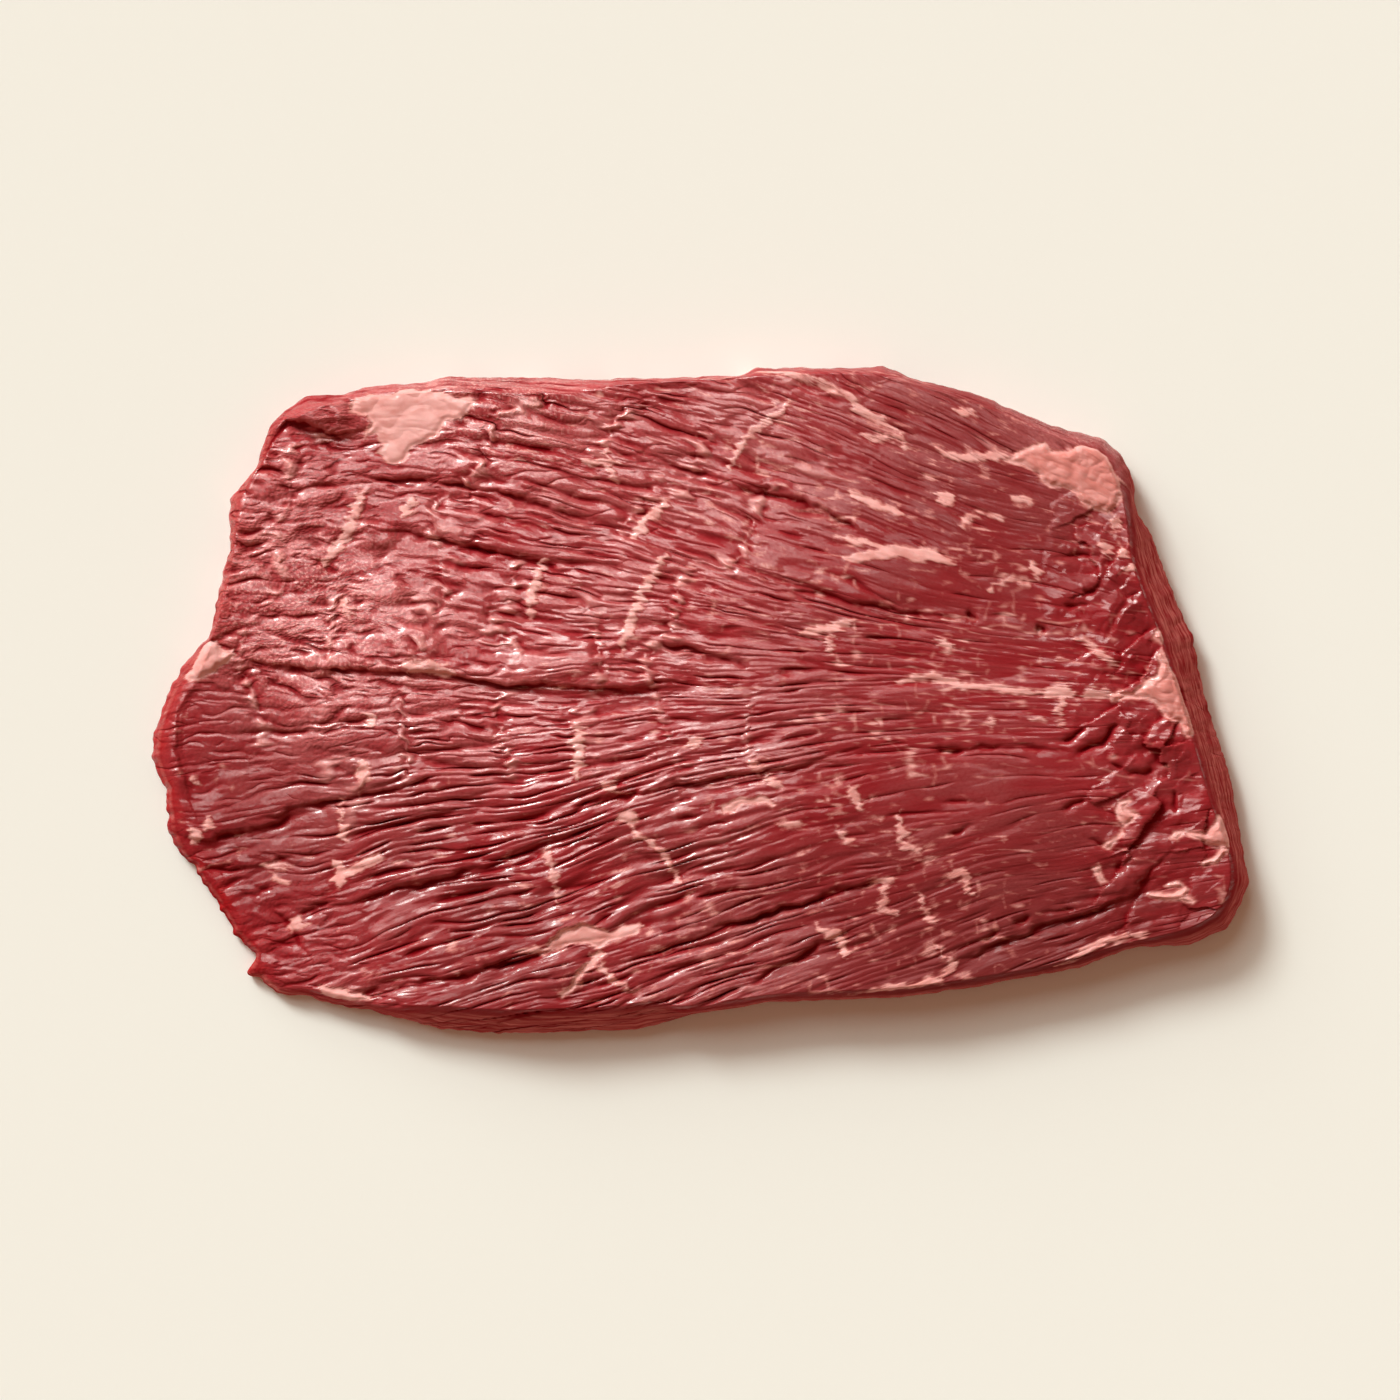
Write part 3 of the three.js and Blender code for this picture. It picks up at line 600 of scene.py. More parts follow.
def patch(ring, steps_along, steps_across):
    """A grid of places inside a ring, blended from its four sides."""
    corner = np.cumsum([0, steps_along, steps_across, steps_along])
    closed = np.concatenate([ring, ring[:1]])
    far = closed[corner[0]:corner[1] + 1][None, :]
    right = closed[corner[1]:corner[2] + 1][:, None]
    near = closed[corner[2]:corner[3] + 1][::-1][None, :]
    left = closed[corner[3]:][::-1][:, None]
    u = np.linspace(0, 1, steps_along + 1)[None, :, None]
    v = np.linspace(0, 1, steps_across + 1)[:, None, None]
    sides = (1 - v) * far + v * near + (1 - u) * left + u * right
    corners = (
        (1 - u) * (1 - v) * ring[corner[0]] + u * (1 - v) * ring[corner[1]]
        + u * v * ring[corner[2]] + (1 - u) * v * ring[corner[3]]
    )
    return sides - corners


def grid_ring(steps_along, steps_across):
    """Indices of a grid's outermost vertices, in the order of the ring round it."""
    index = np.arange((steps_along + 1) * (steps_across + 1)).reshape(steps_across + 1, -1)
    return np.concatenate([index[0, :-1], index[:-1, -1], index[-1, :0:-1], index[:0:-1, 0]])


def cells_of(first, steps_along, steps_across):
    """The faces of a grid whose vertices are numbered from first."""
    index = first + np.arange((steps_along + 1) * (steps_across + 1)).reshape(steps_across + 1, -1)
    cells = np.stack([index[:-1, :-1], index[1:, :-1], index[1:, 1:], index[:-1, 1:]], -1)
    return cells.reshape(-1, 4)


def creases(x, across, along, wild=1.0):
    """A wave that is 0 on each crease, and how far the creases are open, 0 to 1. The creases
    run side by side where wild is 0, and meet and part where it is 1."""
    even = np.sin(math.pi * (across + 0.8 * noise(x / along / 1.5, 0.7 * across)))
    wave = lerp(0.5 * even, noise(x / along, across), wild)
    return wave, smoothstep(noise(2.3 * x / along + 31, across + 17), -0.2, 0.4)


def ridges(x, fibre, level, along, width, wild=1.0, top=1.0):
    """Ridges along the fibres, about 0 on top and down to -1 in the creases between them, which
    open and close along the way. Where the fibres are squeezed together, broader ones take over.
    A low top makes them flat."""
    low = np.floor(level)
    layers = []
    for step in (low, low + 1):
        wave, ajar = creases(x, fibre / (width * 2**step), along, wild)
        shoulder = np.sqrt(np.minimum(np.abs(wave), top)) - 0.6
        layers.append(ROUNDED * shoulder - ajar * bell(wave, CREASE))
    return lerp(*layers, level - low)


def blurred(rows, steps, closed=False):
    """Values in rows and columns, each the mean of its neighbours within some steps."""
    span = 2 * steps + 1
    for mode in ("edge", "wrap" if closed else "edge"):
        padded = np.pad(rows, [(steps, steps), (0, 0)], mode=mode)
        total = np.cumsum(np.insert(padded, 0, 0, axis=0), axis=0)
        rows = (total[span:] - total[:-span]).T / span
    return rows


def cut(height, points, depth, width, place):
    """Presses a groove along a chain of points into the height."""
    near = close_to(points, 6 * width, place)
    distance, _, along = nearest_on(points, place[near])
    groove = 0.6 * bell(distance, width) + 0.4 * bell(distance, 2.5 * width)
    height[near] -= tapered(along) * depth[near] * groove


def inside(outline, place):
    """Whether each place is inside a closed outline."""
    x, y = place.T
    crossings = np.zeros(len(place), int)
    for (ax, ay), (bx, by) in zip(outline, np.roll(outline, -1, axis=0)):
        spans = (ay > y) != (by > y)
        if ay != by:
            crossings += spans & (x < ax + (y - ay) / (by - ay) * (bx - ax))
    return crossings % 2 == 1


def fat_depth(place, fibre):
    """How far each place is inside the fat patches and the veins, in millimetres, and below 0
    outside them. The veins step sideways from one fibre to the next."""
    x, y = place.T
    ragged = place + 0.6 * wander((x / 4.1, y / 3.1), (x / 4.3 + 40, y / 3.3))
    ragged += 0.25 * wander((x / 1.3, fibre / 1.1), (x / 1.7, fibre / 1.3))
    stepping = ragged + np.outer(1.6 * noise(x / 8, fibre / 1.3), (1, 0))
    depth = np.full(len(place), -FAT_REACH)
    vein = np.full(len(place), -FAT_REACH)
    for outline in FAT:
        outline = on_plan(outline)
        near = close_to(outline, FAT_REACH, place)
        distance = nearest_on(np.concatenate([outline, outline[:1]]), ragged[near])[0]
        signed = np.where(inside(outline, ragged[near]), distance, -distance)
        depth[near] = np.maximum(depth[near], signed)
    for half_width, *points in VEINS:
        points = on_plan(points)
        near = close_to(points, FAT_REACH, place)
        distance, _, along = nearest_on(points, stepping[near])
        taper = 1 - (2 * np.abs(along - 0.5)) ** 4
        knots = 0.5 * noise(x[near] / 2.2, y[near] / 2.2)
        knots += 0.9 * noise(x[near] / 9, fibre[near] / 1.4)
        wide = 0.1 + 1.4 * half_width * (0.3 + 0.7 * taper)
        signed = np.minimum(wide - distance + knots, 0.12 + 0.42 * half_width)
        vein[near] = np.maximum(vein[near], signed)
    return depth, vein


def relief(place, inset):
    """Height of the surface's relief at each place, with what the material needs to know of it.
    The lumps calm down towards the rim, which inset is the distance from."""
    x, y = place.T
    fibre, squeeze = across_grain(place)
    facts = {name: blended(stations, REGION_REACH, place) for name, stations in REGIONS.items()}
    film_and_sheen, crumple, lumps = facts["film_and_sheen"], facts["crumple"], facts["lumps"]
    strength = blended(BUNDLE_STRENGTH, REGION_REACH, place)
    level = np.clip(np.log2(squeeze), 0, MOST_SQUEEZED)
    broad = level + 0.75 * smoothstep(film_and_sheen, 0.4, 0.8)
    top = lerp(1.0, 0.14, smoothstep(film_and_sheen, 0.25, 0.7))
    fibre += 2 * noise(x / 30, y / 15) + (0.35 + 1.1 * crumple) * noise(x / 10, y / 8)
    fibre += (0.1 + 0.4 * crumple) * noise(x / 5, y / 3.5)

    height = SWELL_HEIGHT * noise(x / SWELL_SIZE, y / SWELL_SIZE)
    for along, width, rise in BUNDLES:
        height += strength * rise * ridges(x, fibre, level, along, width, 1.0, 2 * top)
    smooth_height = height.copy()

    centre = on_plan(FAN_CENTRE)[0]
    run = np.hypot(x - centre[0], 1.15 * (y - centre[1])) / SEAM_SPACING
    run += 0.4 * noise(x / 17, y / 21) + 0.1 * noise(x / 9, fibre / 2.4)
    cell = np.floor(run)
    part = run - cell
    step = lerp(np.sin(cell * 2.4), np.sin((cell + 1) * 2.4), smoothstep(part, 0.41, 0.59))
    seamed = smoothstep(film_and_sheen, 0.2, 0.5) * (1 - 0.3 * crumple)
    seamed *= smoothstep(noise(x / 26 + 5, y / 18), -0.45, 0.05)
    seamed *= smoothstep(noise(x / 7, fibre / 3 + 9), -0.5, 0.1)
    stepped = fibre + SEAM_STEP * step * seamed
    off_seam = np.abs(part - 0.5) * SEAM_SPACING
    tissue = smoothstep(noise(x / 9, stepped / 3), -0.2, 0.4)
    at_seam = seamed * bell(off_seam, 0.4 + 2.2 * tissue) * (0.25 + 0.75 * tissue)
    swelling = 1 - seamed * bell(off_seam, 3.5)

    cushion = np.zeros(len(place))
    for *centre, half_length, half_width, rise, tilt in CUSHIONS:
        ahead, beside = turned(*(place - on_plan(centre)).T, tilt)
        off_centre = np.hypot(ahead / half_length, beside / half_width)
        bulge = smoothstep(off_centre + 0.15 * noise(x / 5, y / 4), 1.15, 0.45)
        height += 0.95 * rise * bulge
        cushion = np.maximum(cushion, bulge)

    vigour = 0.4 + 0.9 * smoothstep(noise(x / 22 + 9, stepped / 8), -0.5, 0.5)
    vigour *= strength * (1 - 0.7 * lumps) * (1 - 0.6 * cushion) * (1 - 0.7 * at_seam)
    for number, (along, width, rise) in enumerate(FIBRES):
        wobbly = stepped + 0.15 * width * noise(x / 11, fibre / width + 7 * number)
        wild = smoothstep(crumple, 0.1, 0.6)
        ridge = ridges(x + 31 * number, wobbly, broad, along, width, wild, top)
        calmed = (1 - 0.95 * film_and_sheen * min(number, 1)) * (1 - 0.75 * crumple)
        height += vigour * calmed * rise * ridge * (0.6 + 0.4 * swelling)
        if number == 0:
            nearest = np.round(broad)
            wave, ajar = creases(x, wobbly / (width * 2**nearest), along, wild)
            opened = np.minimum(1, 1.3 * ajar * vigour * calmed)
            opened *= smoothstep(np.abs(broad - nearest), 0.5, 0.25)
    height += SEAM_RISE * at_seam + 0.8 * swelling

    bent = y + 2.1 * noise(x / 9, y / 7) + 0.4 * noise(x / 3.4, y / 2.6)
    crumpled = crumple * (1 - 0.6 * cushion) * (1 - 0.7 * at_seam)
    finely = crumpled * smoothstep(noise(x / 15 + 3, y / 12), -0.2, 0.3)
    height += 0.8 * crumpled * ridges(x, bent, 0.0, 17, 4.6, 0.6, 0.2)
    height += 0.4 * finely * ridges(x, bent, 0.0, 9, 2.0, 0.6, 0.2)
    second_wave, second_ajar = creases(x, bent / 4.6, 17, 0.6)
    third_wave, third_ajar = creases(x, bent / 2.0, 9, 0.6)
    bend = noise(x / 13, y / 13) + 0.3 * noise(x / 4, y / 4)
    ahead, beside = turned(x, y, LUMP_SLANT)
    facet, lean = knobs(ahead / 15 + 0.4 * bend, beside / 9.5 - 0.4 * bend)
    small_facet, small_lean = knobs(ahead / 5 - bend, beside / 3.4 + 0.5 * bend)
    ajar = smoothstep(noise(x / 8, y / 8), -0.2, 0.4)
    lumpy = smoothstep(lumps, 0.3, 0.95) * smoothstep(inset, -2, 6)
    folded = 2.6 * lean * (1 - 0.4 * facet) + 0.25 * small_lean
    height += lumpy * (folded - ajar * (0.7 * facet + 0.08 * small_facet))
    wandered = place + 0.5 * wander((x / 3, y / 3), (x / 3 + 50, y / 3))
    wandered += 1.1 * wander((x / 9 + 9, y / 9), (x / 10, y / 10))
    opening = 0.35 + 0.6 * smoothstep(noise(x / 9, y / 7 + 20), -0.4, 0.4)
    for depth, lip, *points in SPLITS.values():
        points = on_plan(points)
        cut(height, points, depth * opening, SPLIT_WIDTH / 4, wandered)
        near = close_to(points, 3 * LIP_REACH, place)
        distance, bank, along = nearest_on(points, wandered[near])
        step = bank * smoothstep(distance, 0, SPLIT_WIDTH / 2)
        height[near] += tapered(along) * lip * step * bell(distance, LIP_REACH) / 2
    for depth, *points in PITS:
        cut(height, on_plan(points), depth * opening, PIT_WIDTH, wandered)

    marbled = 0.5 * blended(MARBLED, REGION_REACH, place) - 1.02 + 0.4 * noise(x / 15, y / 12)
    across_fleck = noise(x / 2.4, stepped / 3.5 / 2**level) - 0.14
    fleck = np.maximum(noise(x / 5, stepped / 1.8 / 2 ** (0.6 * level)), across_fleck)
    thickest = 0.03 + 0.22 * smoothstep(level, 0.3, 1.2)
    fleck = np.minimum(1.7 * np.where(crumple > 0.3, -1, fleck + marbled), thickest)
    depth, vein = fat_depth(place, stepped)
    fat = np.maximum(depth, np.maximum(vein, fleck))
    covered = smoothstep(depth, -0.1, 0.8)
    fold = noise(x / 9 + 0.4 * bend, y / 6 - 0.4 * bend)
    lobed = smoothstep(np.abs(x - LOBED_MIDDLE), *LOBED_FROM)
    lobe = noise(x / 4.6 + 0.3 * bend, y / 3.6 - 0.3 * bend)
    puffed = FAT_RISE * smoothstep(depth, 0, 2) * (0.5 + 0.5 * lobed) + 0.3 * np.sqrt(np.abs(fold))
    puffed += 0.65 * lobed * np.abs(lobe) ** 0.7
    height = lerp(height, 0.3 * smooth_height + 0.12 * height + puffed, covered)
    height += 0.25 * smoothstep(vein, -0.3, 0.5)
    return height, facts | {
        "fat": fat, "level": level, "seam": at_seam, "grain": np.column_stack([x, stepped, y]),
        "wave": np.column_stack([wave, second_wave, third_wave]),
        "opened": np.column_stack([opened, crumpled * second_ajar, 0.8 * finely * third_ajar]),
        "rim": nearest_on(on_plan(LEFT_END), place)[0],
    }


def build_mesh(positions, faces, facts, chart, upper_corners):
    """The mesh of the slab with what its material needs to know, and a map for baking, which is
    the chart for the upper corners of faces and the plan itself for the rest."""
    mesh = bpy.data.meshes.new("meat")
    mesh.from_pydata((positions * METRES).tolist(), [], faces)
    mesh.shade_smooth()
    for name, values in facts.items():
        kind = "FLOAT_VECTOR" if values.ndim == 2 else "FLOAT"
        attribute = mesh.attributes.new(name, kind, "POINT")
        full = np.zeros((len(positions), *values.shape[1:]), np.float32)
        full[:len(values)] = values
        full[len(values):] = SOLE_FACTS.get(name, 0)
        if name == "grain":
            full[len(values):] = positions[len(values):] * (1, 1, 0)
        attribute.data.foreach_set("vector" if kind == "FLOAT_VECTOR" else "value", full.ravel())

    chart = (chart - chart.min(0)) / np.ptp(chart[:, 0]) * UPPER_CHART + (0, UNDER_CHART)
    under_chart = (positions[:, :2] / LENGTH + (0.5, 0.5 * WIDTH / LENGTH)) * UNDER_CHART
    corners = np.zeros(len(mesh.loops), int)
    mesh.loops.foreach_get("vertex_index", corners)
    upper, lower = corners[:upper_corners], corners[upper_corners:]
    flat = np.concatenate([chart[upper], CHART_MARGIN + under_chart[lower]])
    mesh.uv_layers.new(name="OFBake").data.foreach_set("uv", flat.ravel())
    return mesh


def make_slab():
    """The steak's mesh, and the middle of its outline on the plan, which is its origin."""
    rim, out, face, cut_off = edge_columns()
    middle = (rim.min(0) + rim.max(0)) / 2
    grid = patch(face, STEPS_ALONG, STEPS_ACROSS).reshape(-1, 2)
    ring = grid_ring(STEPS_ALONG, STEPS_ACROSS)
    columns = len(ring)

    turn = np.linspace(0, math.pi / 2, EDGE_ROWS + 1)[1:, None]
    straight = turn / (math.pi / 2)
    lean = lerp(np.sin(turn), straight, cut_off)
    fall = lerp(1 - np.cos(turn), straight, cut_off)
    over = lerp(face[None], rim[None], lean[..., None])
    under_turn = np.linspace(0, math.pi / 2, UNDER_ROWS + 1)[1:, None]
    under = rim[None] - out[None] * UNDERCUT * (1 - np.cos(under_turn))[..., None]

    place = np.concatenate([grid, over.reshape(-1, 2)])
    inset = np.minimum.outer(*(
        span * (0.5 - np.abs(np.linspace(-0.5, 0.5, steps + 1)))
        for span, steps in ((WIDTH, STEPS_ACROSS), (LENGTH, STEPS_ALONG))
    ))
    slab = blended(THICKNESS, THICKNESS_REACH, place)
    top = slab[ring]
    widest = WIDEST_HEIGHT * top
    base_z = lerp(top, widest, fall)
    unrolled = over + out[None] * (top - base_z)[..., None]
    height, facts = relief(
        np.concatenate([grid, unrolled.reshape(-1, 2)]),
        np.concatenate([inset.reshape(-1), np.zeros(over.size // 2)]),
    )
    height *= smoothstep(slab, 1, 8)
    grid_height = height[:len(grid)].reshape(STEPS_ACROSS + 1, -1)
    over_height = height[len(grid):].reshape(EDGE_ROWS, columns)
    round_edge = np.arange(columns) * MEAN_STEP
    lumpy_wall = base_z / 2.2 + noise(round_edge / 6, base_z / 5)
    strata = noise(round_edge / 14 + np.zeros_like(base_z), lumpy_wall)
    over_height = over_height * (1 - 0.6 * lean)
    over_height += STRATA * lean * cut_off * (np.sqrt(np.abs(strata)) - 0.5)
    over_z = base_z + over_height * (1 - lean)
    over = over + out[None] * (over_height * lean * RIM_PUSH)[..., None]
    under = under + (over[-1] - rim)[None] * np.cos(under_turn)[..., None]
    under_z = widest[None] * (1 - np.sin(under_turn))
    # Hollows and crests against the mean of the neighbours: the material paints shade into the
    # hollows and a paler highlight onto the crests
    facts["hollow"] = np.concatenate([
        (grid_height - blurred(grid_height, HOLLOW_STEPS)).reshape(-1),
        (over_height - blurred(over_height, HOLLOW_STEPS, closed=True)).reshape(-1),
    ])
    # Walls turned away from the key light, where the material paints the strata colours in as shade
    # and takes the gloss away
    azimuth = math.radians(KEY_AZIMUTH)
    away = smoothstep(out @ (math.cos(azimuth), math.sin(azimuth)), 0.3, -0.3)
    wall = away * lerp(lean**2, np.minimum(1, 3 * fall), cut_off)
    facts["fat"][len(grid):] -= FAT_REACH * (lean * cut_off).reshape(-1)
    round_rows = np.tile(round_edge, EDGE_ROWS)
    for name, values in {"wall": wall, "height": over_z, "round": round_rows}.items():
        facts[name] = np.concatenate([np.zeros(len(grid)), values.reshape(-1)])
    grid_z = slab[:len(grid)] + height[:len(grid)]
    for name, values in facts.items():
        below = np.repeat(values[None, -columns:], UNDER_ROWS, axis=0)
        if name == "grain":
            below[..., :2] += out[None] * (widest - under_z)[..., None]
        elif name == "height":
            below = under_z
        elif name == "opened":
            below = 0 * below
        facts[name] = np.concatenate([values, below.reshape(-1, *values.shape[1:])])

    positions = np.concatenate([
        np.column_stack([plan.reshape(-1, 2), z.reshape(-1)])
        for plan, z in ((grid, grid_z), (over, over_z), (under, under_z))
    ])
    positions[:, :2] -= middle
    positions[:, 2] = np.maximum(positions[:, 2], 0)

    rows = [ring] + [
        len(grid) + row * columns + np.arange(columns) for row in range(EDGE_ROWS + UNDER_ROWS)
    ]
    quads = [cells_of(0, STEPS_ALONG, STEPS_ACROSS)]
    for upper, lower in zip(rows[:-1], rows[1:]):
        quads.append(np.stack([upper, np.roll(upper, -1), np.roll(lower, -1), lower], -1))
    upper_corners = 4 * sum(len(part) for part in quads)

    coarse = STEPS_ALONG // UNDER_STEP, STEPS_ACROSS // UNDER_STEP
    sole_rim = positions[rows[-1], :2] - out * SOLE_INSET
    sole = patch(sole_rim[::UNDER_STEP], *coarse).reshape(-1, 2)
    sole_ring = len(positions) + grid_ring(*coarse)
    quads.append(cells_of(len(positions), *coarse)[:, ::-1])
    foot = [np.roll(rows[-1], -step)[::UNDER_STEP] for step in range(UNDER_STEP + 1)]
    faces = np.concatenate(quads).tolist()
    faces += np.stack([*foot, np.roll(sole_ring, -1), sole_ring], -1).tolist()
    positions = np.concatenate([positions, np.column_stack([sole, np.zeros(len(sole))])])

    unroll = np.linspace(0, UNROLLED, len(rows))[1:, None, None]
    chart = np.concatenate([grid, (face + out * unroll).reshape(-1, 2)])
    return build_mesh(positions, faces, facts, chart, upper_corners), middle


def srgb(red, green, blue):
    """A colour seen on a screen, 0 to 255 a channel, as Blender's linear colour."""
    return (*(((c / 255 + 0.055) / 1.055) ** 2.4 for c in (red, green, blue)), 1)


class Value:
    """A socket of a material. Arithmetic on it adds the nodes that work it out."""

    def __init__(self, nodes, socket):
        self.nodes = nodes
        self.socket = socket

    def __add__(self, other):
        return self.nodes.math("ADD", self, other)

    def __sub__(self, other):
        return self.nodes.math("SUBTRACT", self, other)

    def __rsub__(self, other):
        return self.nodes.math("SUBTRACT", other, self)

    def __mul__(self, other):
        return self.nodes.math("MULTIPLY", self, other)

    __radd__ = __add__
    __rmul__ = __mul__


class Nodes:
    """The nodes of a material or world. Each call adds one and gives back its value."""

    def __init__(self, owner, shader="Principled BSDF"):
        owner.use_nodes = True
        self.tree = owner.node_tree
        self.shader = self.tree.nodes[shader].inputs

    def feed(self, socket, value):
        if isinstance(value, Value):
            self.tree.links.new(value.socket, socket)
        else:
            socket.default_value = value

    def set_all(self, inputs, node=None):
        """Feeds the inputs of a node, or of the shader, by their names or numbers."""
        for key, value in inputs.items():
            self.feed(node.inputs[key] if node else self.shader[key], value)

    def add(self, kind, inputs, output=0, **settings):
        node = self.tree.nodes.new("ShaderNode" + kind)
        for name, value in settings.items():
            setattr(node, name, value)
        self.set_all(inputs, node)
        return Value(self, node.outputs[output])

    def value(self, name):
        return self.add("Attribute", {}, output=2, attribute_name=name)

    def vector(self, name):
        return self.add("Attribute", {}, output=1, attribute_name=name)

    def math(self, operation, a, b=0.0):
        return self.add("Math", {0: a, 1: b}, operation=operation)

    def larger(self, a, b):
        return self.math("MAXIMUM", a, b)

    def shrunk(self, vector, size):
        scale = tuple(1 / s for s in size)
        return self.add("VectorMath", {0: vector, 1: scale}, operation="MULTIPLY")

    def noise(self, vector, size, detail=2.0):
        """Noise from 0 to 1, with a feature about every size millimetres each way."""
        inputs = {"Vector": self.shrunk(vector, size), "Scale": 1.0, "Detail": detail}
        return self.add("TexNoise", {**inputs, "Roughness": 0.5})

    def cells(self, vector, size):
        """Distance from the middle of cells of about a size in millimetres, 0 to 1."""
        inputs = {"Vector": self.shrunk(vector, size), "Scale": 1.0}
        return self.add("TexVoronoi", inputs, voronoi_dimensions="2D")

    def line(self, layer):
        """The crisp bottom of one layer of creases, 1 in an open one."""
        wave = self.add("SeparateXYZ", {0: self.vector("wave")}, output=layer)
        opened = self.add("SeparateXYZ", {0: self.vector("opened")}, output=layer)
        return self.ramp(self.math("ABSOLUTE", wave), 0.02, 0.12, 1.0, 0.0) * opened

    def ramp(self, value, low, high, start=0.0, end=1.0):
        """A smooth step of value from low to high."""
        inputs = {"Value": value, "From Min": low, "From Max": high, "To Min": start, "To Max": end}
        return self.add("MapRange", inputs, interpolation_type="SMOOTHSTEP")

    def blend(self, share, a, b):
        return self.add("Mix", {0: share, 2: a, 3: b})

    def mix(self, share, a, b):
        a, b = (srgb(*c) if isinstance(c, tuple) else c for c in (a, b))
        return self.add("Mix", {0: share, 6: a, 7: b}, output=2, data_type="RGBA")


def fibre_noise(nodes, grain, level, along, width, detail):
    """Noise drawn out along the fibres, as fine everywhere, also where they are squeezed."""
    layers = [nodes.noise(grain, (along, width * 2**step, 40.0), detail) for step in range(3)]
    first = nodes.blend(nodes.math("MINIMUM", level, 1.0), layers[0], layers[1])
    return nodes.blend(level - 1.0, first, layers[2])


def meat_material():
    material = bpy.data.materials.new("meat")
    nodes = Nodes(material)
    ramp, mix, value = nodes.ramp, nodes.mix, nodes.value
    grain, level = nodes.vector("grain"), value("level")
    hollow, fat, wall, rim = value("hollow"), value("fat"), value("wall"), value("rim")
    film_and_sheen, crumple, gloss, matte = value("film_and_sheen"), value("crumple"), value("gloss"), value("dusk")

    streak = fibre_noise(nodes, grain, level, 11.0, 1.3, 3.0)
    thread = fibre_noise(nodes, grain, level, 4.0, 0.5, 2.0)
    blotch = nodes.noise(grain, (22.0, 10.0, 40.0), 3.0)
    speck = nodes.noise(grain, (0.9, 0.6, 40.0))
    cells = nodes.cells(grain, (1.2, 0.85, 40.0))
    line = nodes.larger(nodes.line(0), nodes.larger(nodes.line(1), nodes.line(2)))
    dry = ramp(film_and_sheen, 0.5, 0.9)

    red = mix(nodes.blend(0.7 * film_and_sheen, ramp(streak, 0.3, 0.72), 0.45), MEAT_RED, MEAT_LIGHT)
    red = mix(ramp(blotch, 0.4, 0.7) * (0.3 + 0.4 * matte), red, DEEP_RED)
    red = mix(0.75 * matte, red, DUSKY_RED)
    # The pale film with painted sheen over it, and a painted highlight on the crests of the relief
    film_and_sheen_share = 0.5 * ramp(blotch + 0.15 * speck, 0.4, 0.75) + 0.3 * ramp(hollow, -0.1, 0.3)
    film_and_sheen_share = (film_and_sheen_share + 0.15 * crumple + 0.08) * film_and_sheen * ramp(cells, 0.3, 0.8, 1.0, 0.7)
    red = mix(film_and_sheen_share, red, FILM_AND_SHEEN_PINK)
    # Painted sparkle: small pale specks of highlight on the dry film, kept off the hollows
    painted_sparkle = ramp(speck, 0.5, 0.66, 0.0, 0.7) * dry * ramp(hollow, -0.2, 0.1)
    red = mix(painted_sparkle, red, SEAM_PINK)
    red = mix(0.9 * value("seam"), red, SEAM_PINK)

    strata_place = nodes.add("CombineXYZ", {0: value("round"), 1: value("height")})
    strata = nodes.noise(strata_place, (13.0, 0.8, 1.0), 4.0)
    # Painted shade: the strata colours go only on walls turned away from the key light
    side = mix(ramp(strata, 0.3, 0.75), WALL_RED, WALL_BROWN)
    red = mix(0.8 * ramp(wall, 0.3, 0.8), red, side)
    # Painted light: the thin left end glows red as if lit through, and paler right at the outline
    painted_rim_glow = ramp(rim, 8.0, 1.0) * ramp(blotch, 0.35, 0.65, 0.05, 0.7)
    red = mix(painted_rim_glow * ramp(film_and_sheen, 0.2, 0.8, 1.0, 0.3), red, RIM_GLOW_RED)
    painted_pale_rim_glow = (ramp(rim, 1.6, 0.3) + ramp(rim, 7.0, 1.0) * film_and_sheen) * ramp(streak, 0.35, 0.6, 0.1, 0.7)
    red = mix(painted_pale_rim_glow, red, RIM_GLOW_PALE)
    red = mix(ramp(rim, 3.0, 0.5, 0.0, 0.3), red, DEEP_RED)
    # Painted shade: hollows and the bottoms of open creases darken to deep red
    red = mix(ramp(hollow, -0.1, -0.6, 0.0, 0.85), red, DEEP_RED)
    red = mix(0.85 * line, red, DEEP_RED)

    ragged = 2.2 * (streak - 0.5) + 0.8 * (speck - 0.5) + 1.4 * (thread - 0.5)
    ragged = fat + ragged * ramp(level, 0.3, 1.2, 1.0, 0.4)
    fat_mask = ramp(ragged, -0.35, 0.55)
    lean = 1.0 - fat_mask
    shaded = ramp(nodes.noise(grain, (5.0, 4.0, 40.0), 3.0), 0.35, 0.7, 0.0, 0.5)
    shaded += nodes.larger(value("lumps"), matte) * ramp(fat, 0.5, 2.0, 0.25, 0.8)
    shaded += ramp(fat, 0.3, -0.2, 0.0, 0.3)
    halo = mix(ramp(ragged, -0.7, -0.1, 0.0, 0.3), red, FAT_SHADE)
    colour = mix(fat_mask, halo, mix(shaded, FAT_PINK, FAT_SHADE))

    rough = 0.62 - 0.2 * nodes.larger(film_and_sheen, gloss) + 0.25 * (speck - 0.5) + 0.3 * wall
    sheen = film_and_sheen * ramp(blotch, 0.3, 0.6, 0.5, 1.1) * ramp(crumple, 0.2, 0.9, 1.0, 0.4)
    wet = gloss * ramp(fibre_noise(nodes, grain, level, 6.0, 1.6, 1.0), 0.47, 0.58, 0.07, 1.2)
    wet = nodes.larger(wet, sheen) * ramp(speck, 0.35, 0.6, 0.6, 1.0)
    wet = 0.04 + wet * ramp(matte, 0.2, 1.0, 1.0, 0.4)
    wet = wet * ramp(wall, 0.0, 0.35, 1.0, 0.0) * ramp(hollow, -0.3, 0.0)
    wet = wet * ramp(line, 0.0, 0.5, 1.0, 0.2) * ramp(fat_mask, 0.0, 1.0, 1.0, 0.4)

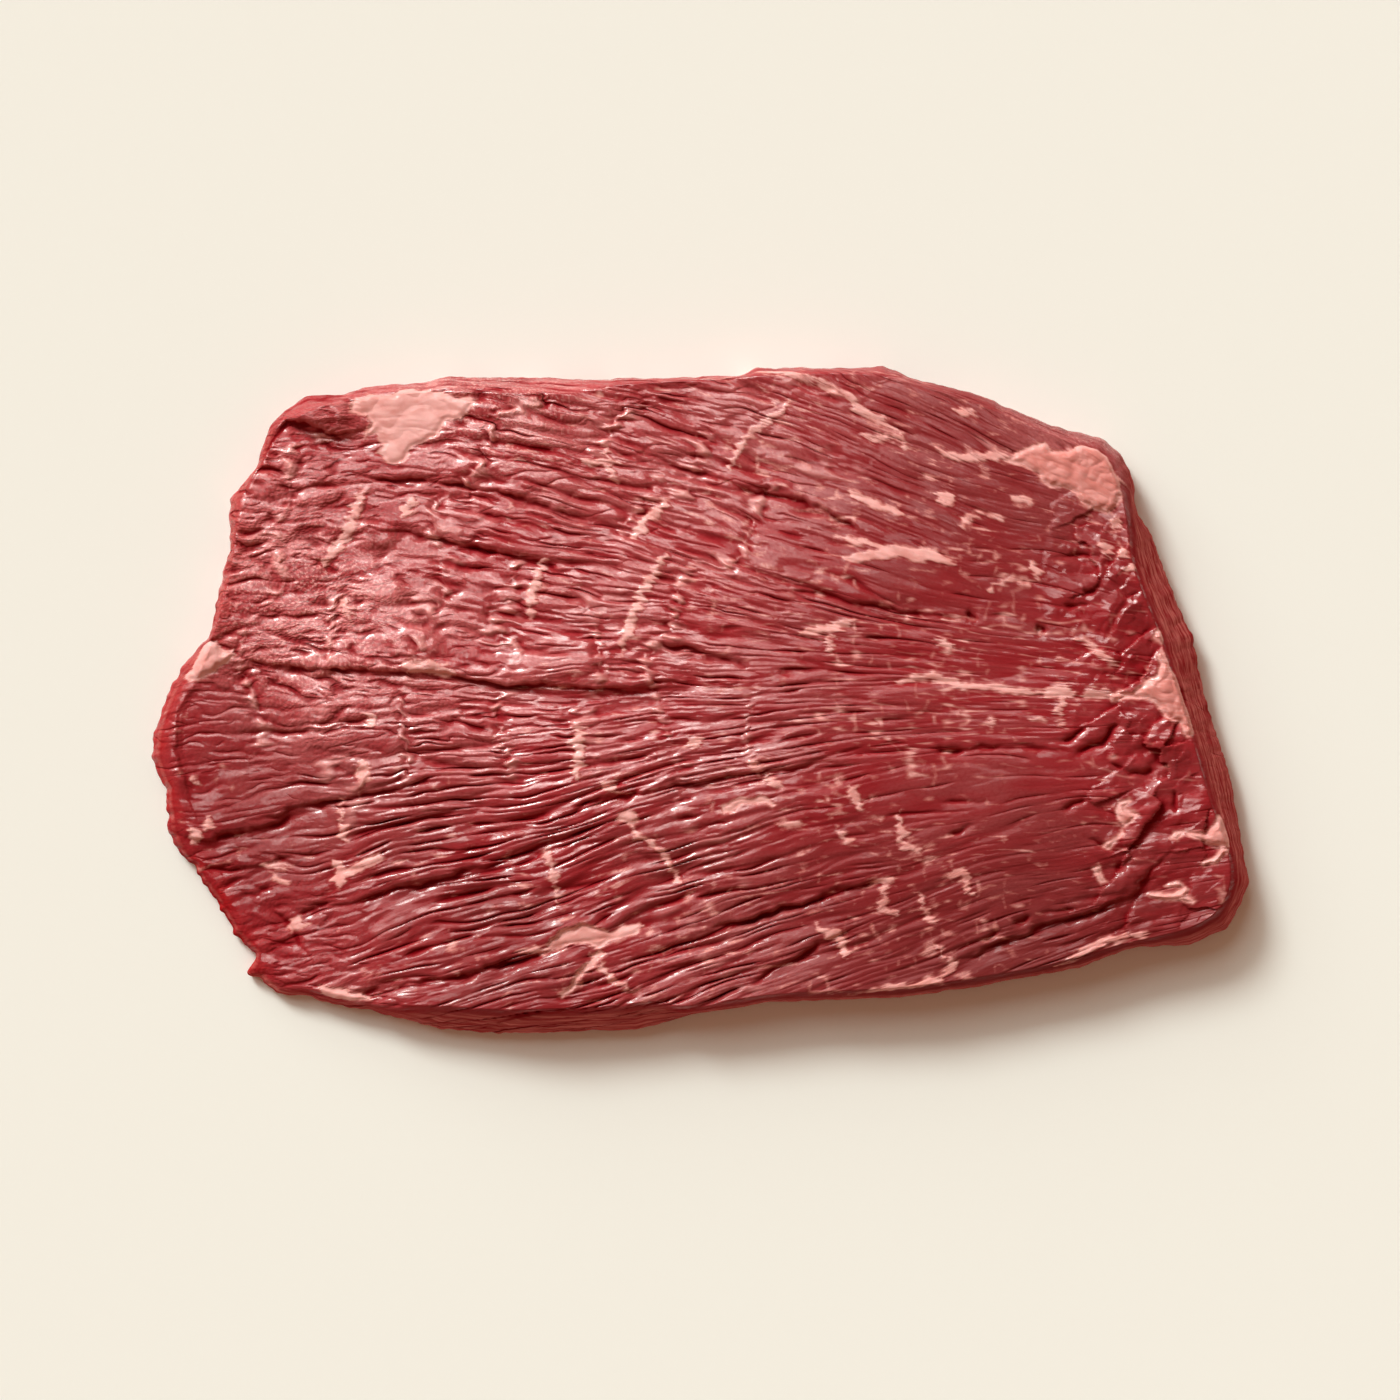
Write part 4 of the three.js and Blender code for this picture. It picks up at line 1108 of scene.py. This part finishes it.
    skin = lean * nodes.larger(dry, crumple)
    fine = cells * skin * -0.36 + speck * (0.07 * skin + 0.02)
    fine += 0.05 * nodes.larger(lean - film_and_sheen, 0.0) * thread - 0.5 * lean * line
    nodes.set_all({
        "Base Color": colour, "Roughness": rough, "Coat Weight": wet, "Coat Roughness": 0.16,
        "Coat IOR": 1.8, "Specular IOR Level": 0.0, "Subsurface Weight": 0.1,
        "Subsurface Radius": (1.0, 0.2, 0.12), "Subsurface Scale": 1.5 * METRES,
        "Normal": nodes.add("Bump", {"Height": fine, "Distance": METRES}),
    })
    return material


def make_floor():
    bpy.ops.mesh.primitive_plane_add(size=FLOOR_SIZE, location=(0, 0, 0))
    floor = bpy.context.object
    floor.name = "floor"
    material = bpy.data.materials.new("floor")
    Nodes(material).set_all({
        "Base Color": srgb(*FLOOR_COLOUR), "Roughness": 0.9, "Specular IOR Level": 0.0
    })
    floor.data.materials.append(material)


def make_lights():
    rest = [lit - fill for lit, fill in zip(LIT, FILL)]
    suns = [("key", size, share, KEY_ELEVATION) for size, share in KEY_LIGHTS]
    suns.append(("sheen", SHEEN_ANGLE, SHEEN_SHARE, SHEEN_ELEVATION))
    for name, size, share, elevation in suns:
        sun = bpy.data.lights.new(name, "SUN")
        sun.color = [channel / max(rest) for channel in rest] if name == "key" else SHEEN_COLOUR
        sun.energy = share * math.pi * max(rest) / math.sin(math.radians(KEY_ELEVATION))
        sun.angle = math.radians(size)
        stand = bpy.data.objects.new(name, sun)
        stand.rotation_euler = (0, math.radians(90 - elevation), math.radians(KEY_AZIMUTH))
        stand.visible_diffuse = name == "key"
        bpy.context.collection.objects.link(stand)

    world = bpy.data.worlds.new("studio")
    bpy.context.scene.world = world
    nodes = Nodes(world, "Background")
    up = nodes.add("SeparateXYZ", {0: nodes.add("TexCoord", {})}, output=2)
    strength = nodes.add("MapRange", {"Value": up, "To Min": HORIZON, "To Max": ZENITH})
    nodes.set_all({"Color": (*FILL, 1), "Strength": strength})
    world.cycles_visibility.glossy = False


def make_camera(middle):
    camera = bpy.data.cameras.new("camera")
    camera.sensor_width = SENSOR
    seen = PHOTO_SIZE * MM_PER_PIXEL * METRES
    camera.lens = SENSOR * (CAMERA_HEIGHT - RIM_HEIGHT * METRES) / seen
    stand = bpy.data.objects.new("camera", camera)
    stand.location = (-middle[0] * METRES, -middle[1] * METRES, CAMERA_HEIGHT)
    bpy.context.collection.objects.link(stand)
    bpy.context.scene.camera = stand


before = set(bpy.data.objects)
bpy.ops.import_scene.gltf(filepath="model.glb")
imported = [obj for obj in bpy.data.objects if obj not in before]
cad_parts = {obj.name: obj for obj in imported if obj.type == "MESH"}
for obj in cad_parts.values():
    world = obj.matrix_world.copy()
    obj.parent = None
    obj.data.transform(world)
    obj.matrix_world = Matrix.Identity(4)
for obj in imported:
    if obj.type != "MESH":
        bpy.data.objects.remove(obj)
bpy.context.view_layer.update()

mesh, middle = make_slab()
steak = bpy.data.objects.new("steak", mesh)
bpy.context.collection.objects.link(steak)
steak.data.materials.append(meat_material())
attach(steak, "root")
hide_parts("flank_steak")

make_floor()
make_lights()
make_camera(middle)
bpy.context.scene.view_settings.view_transform = "Standard"
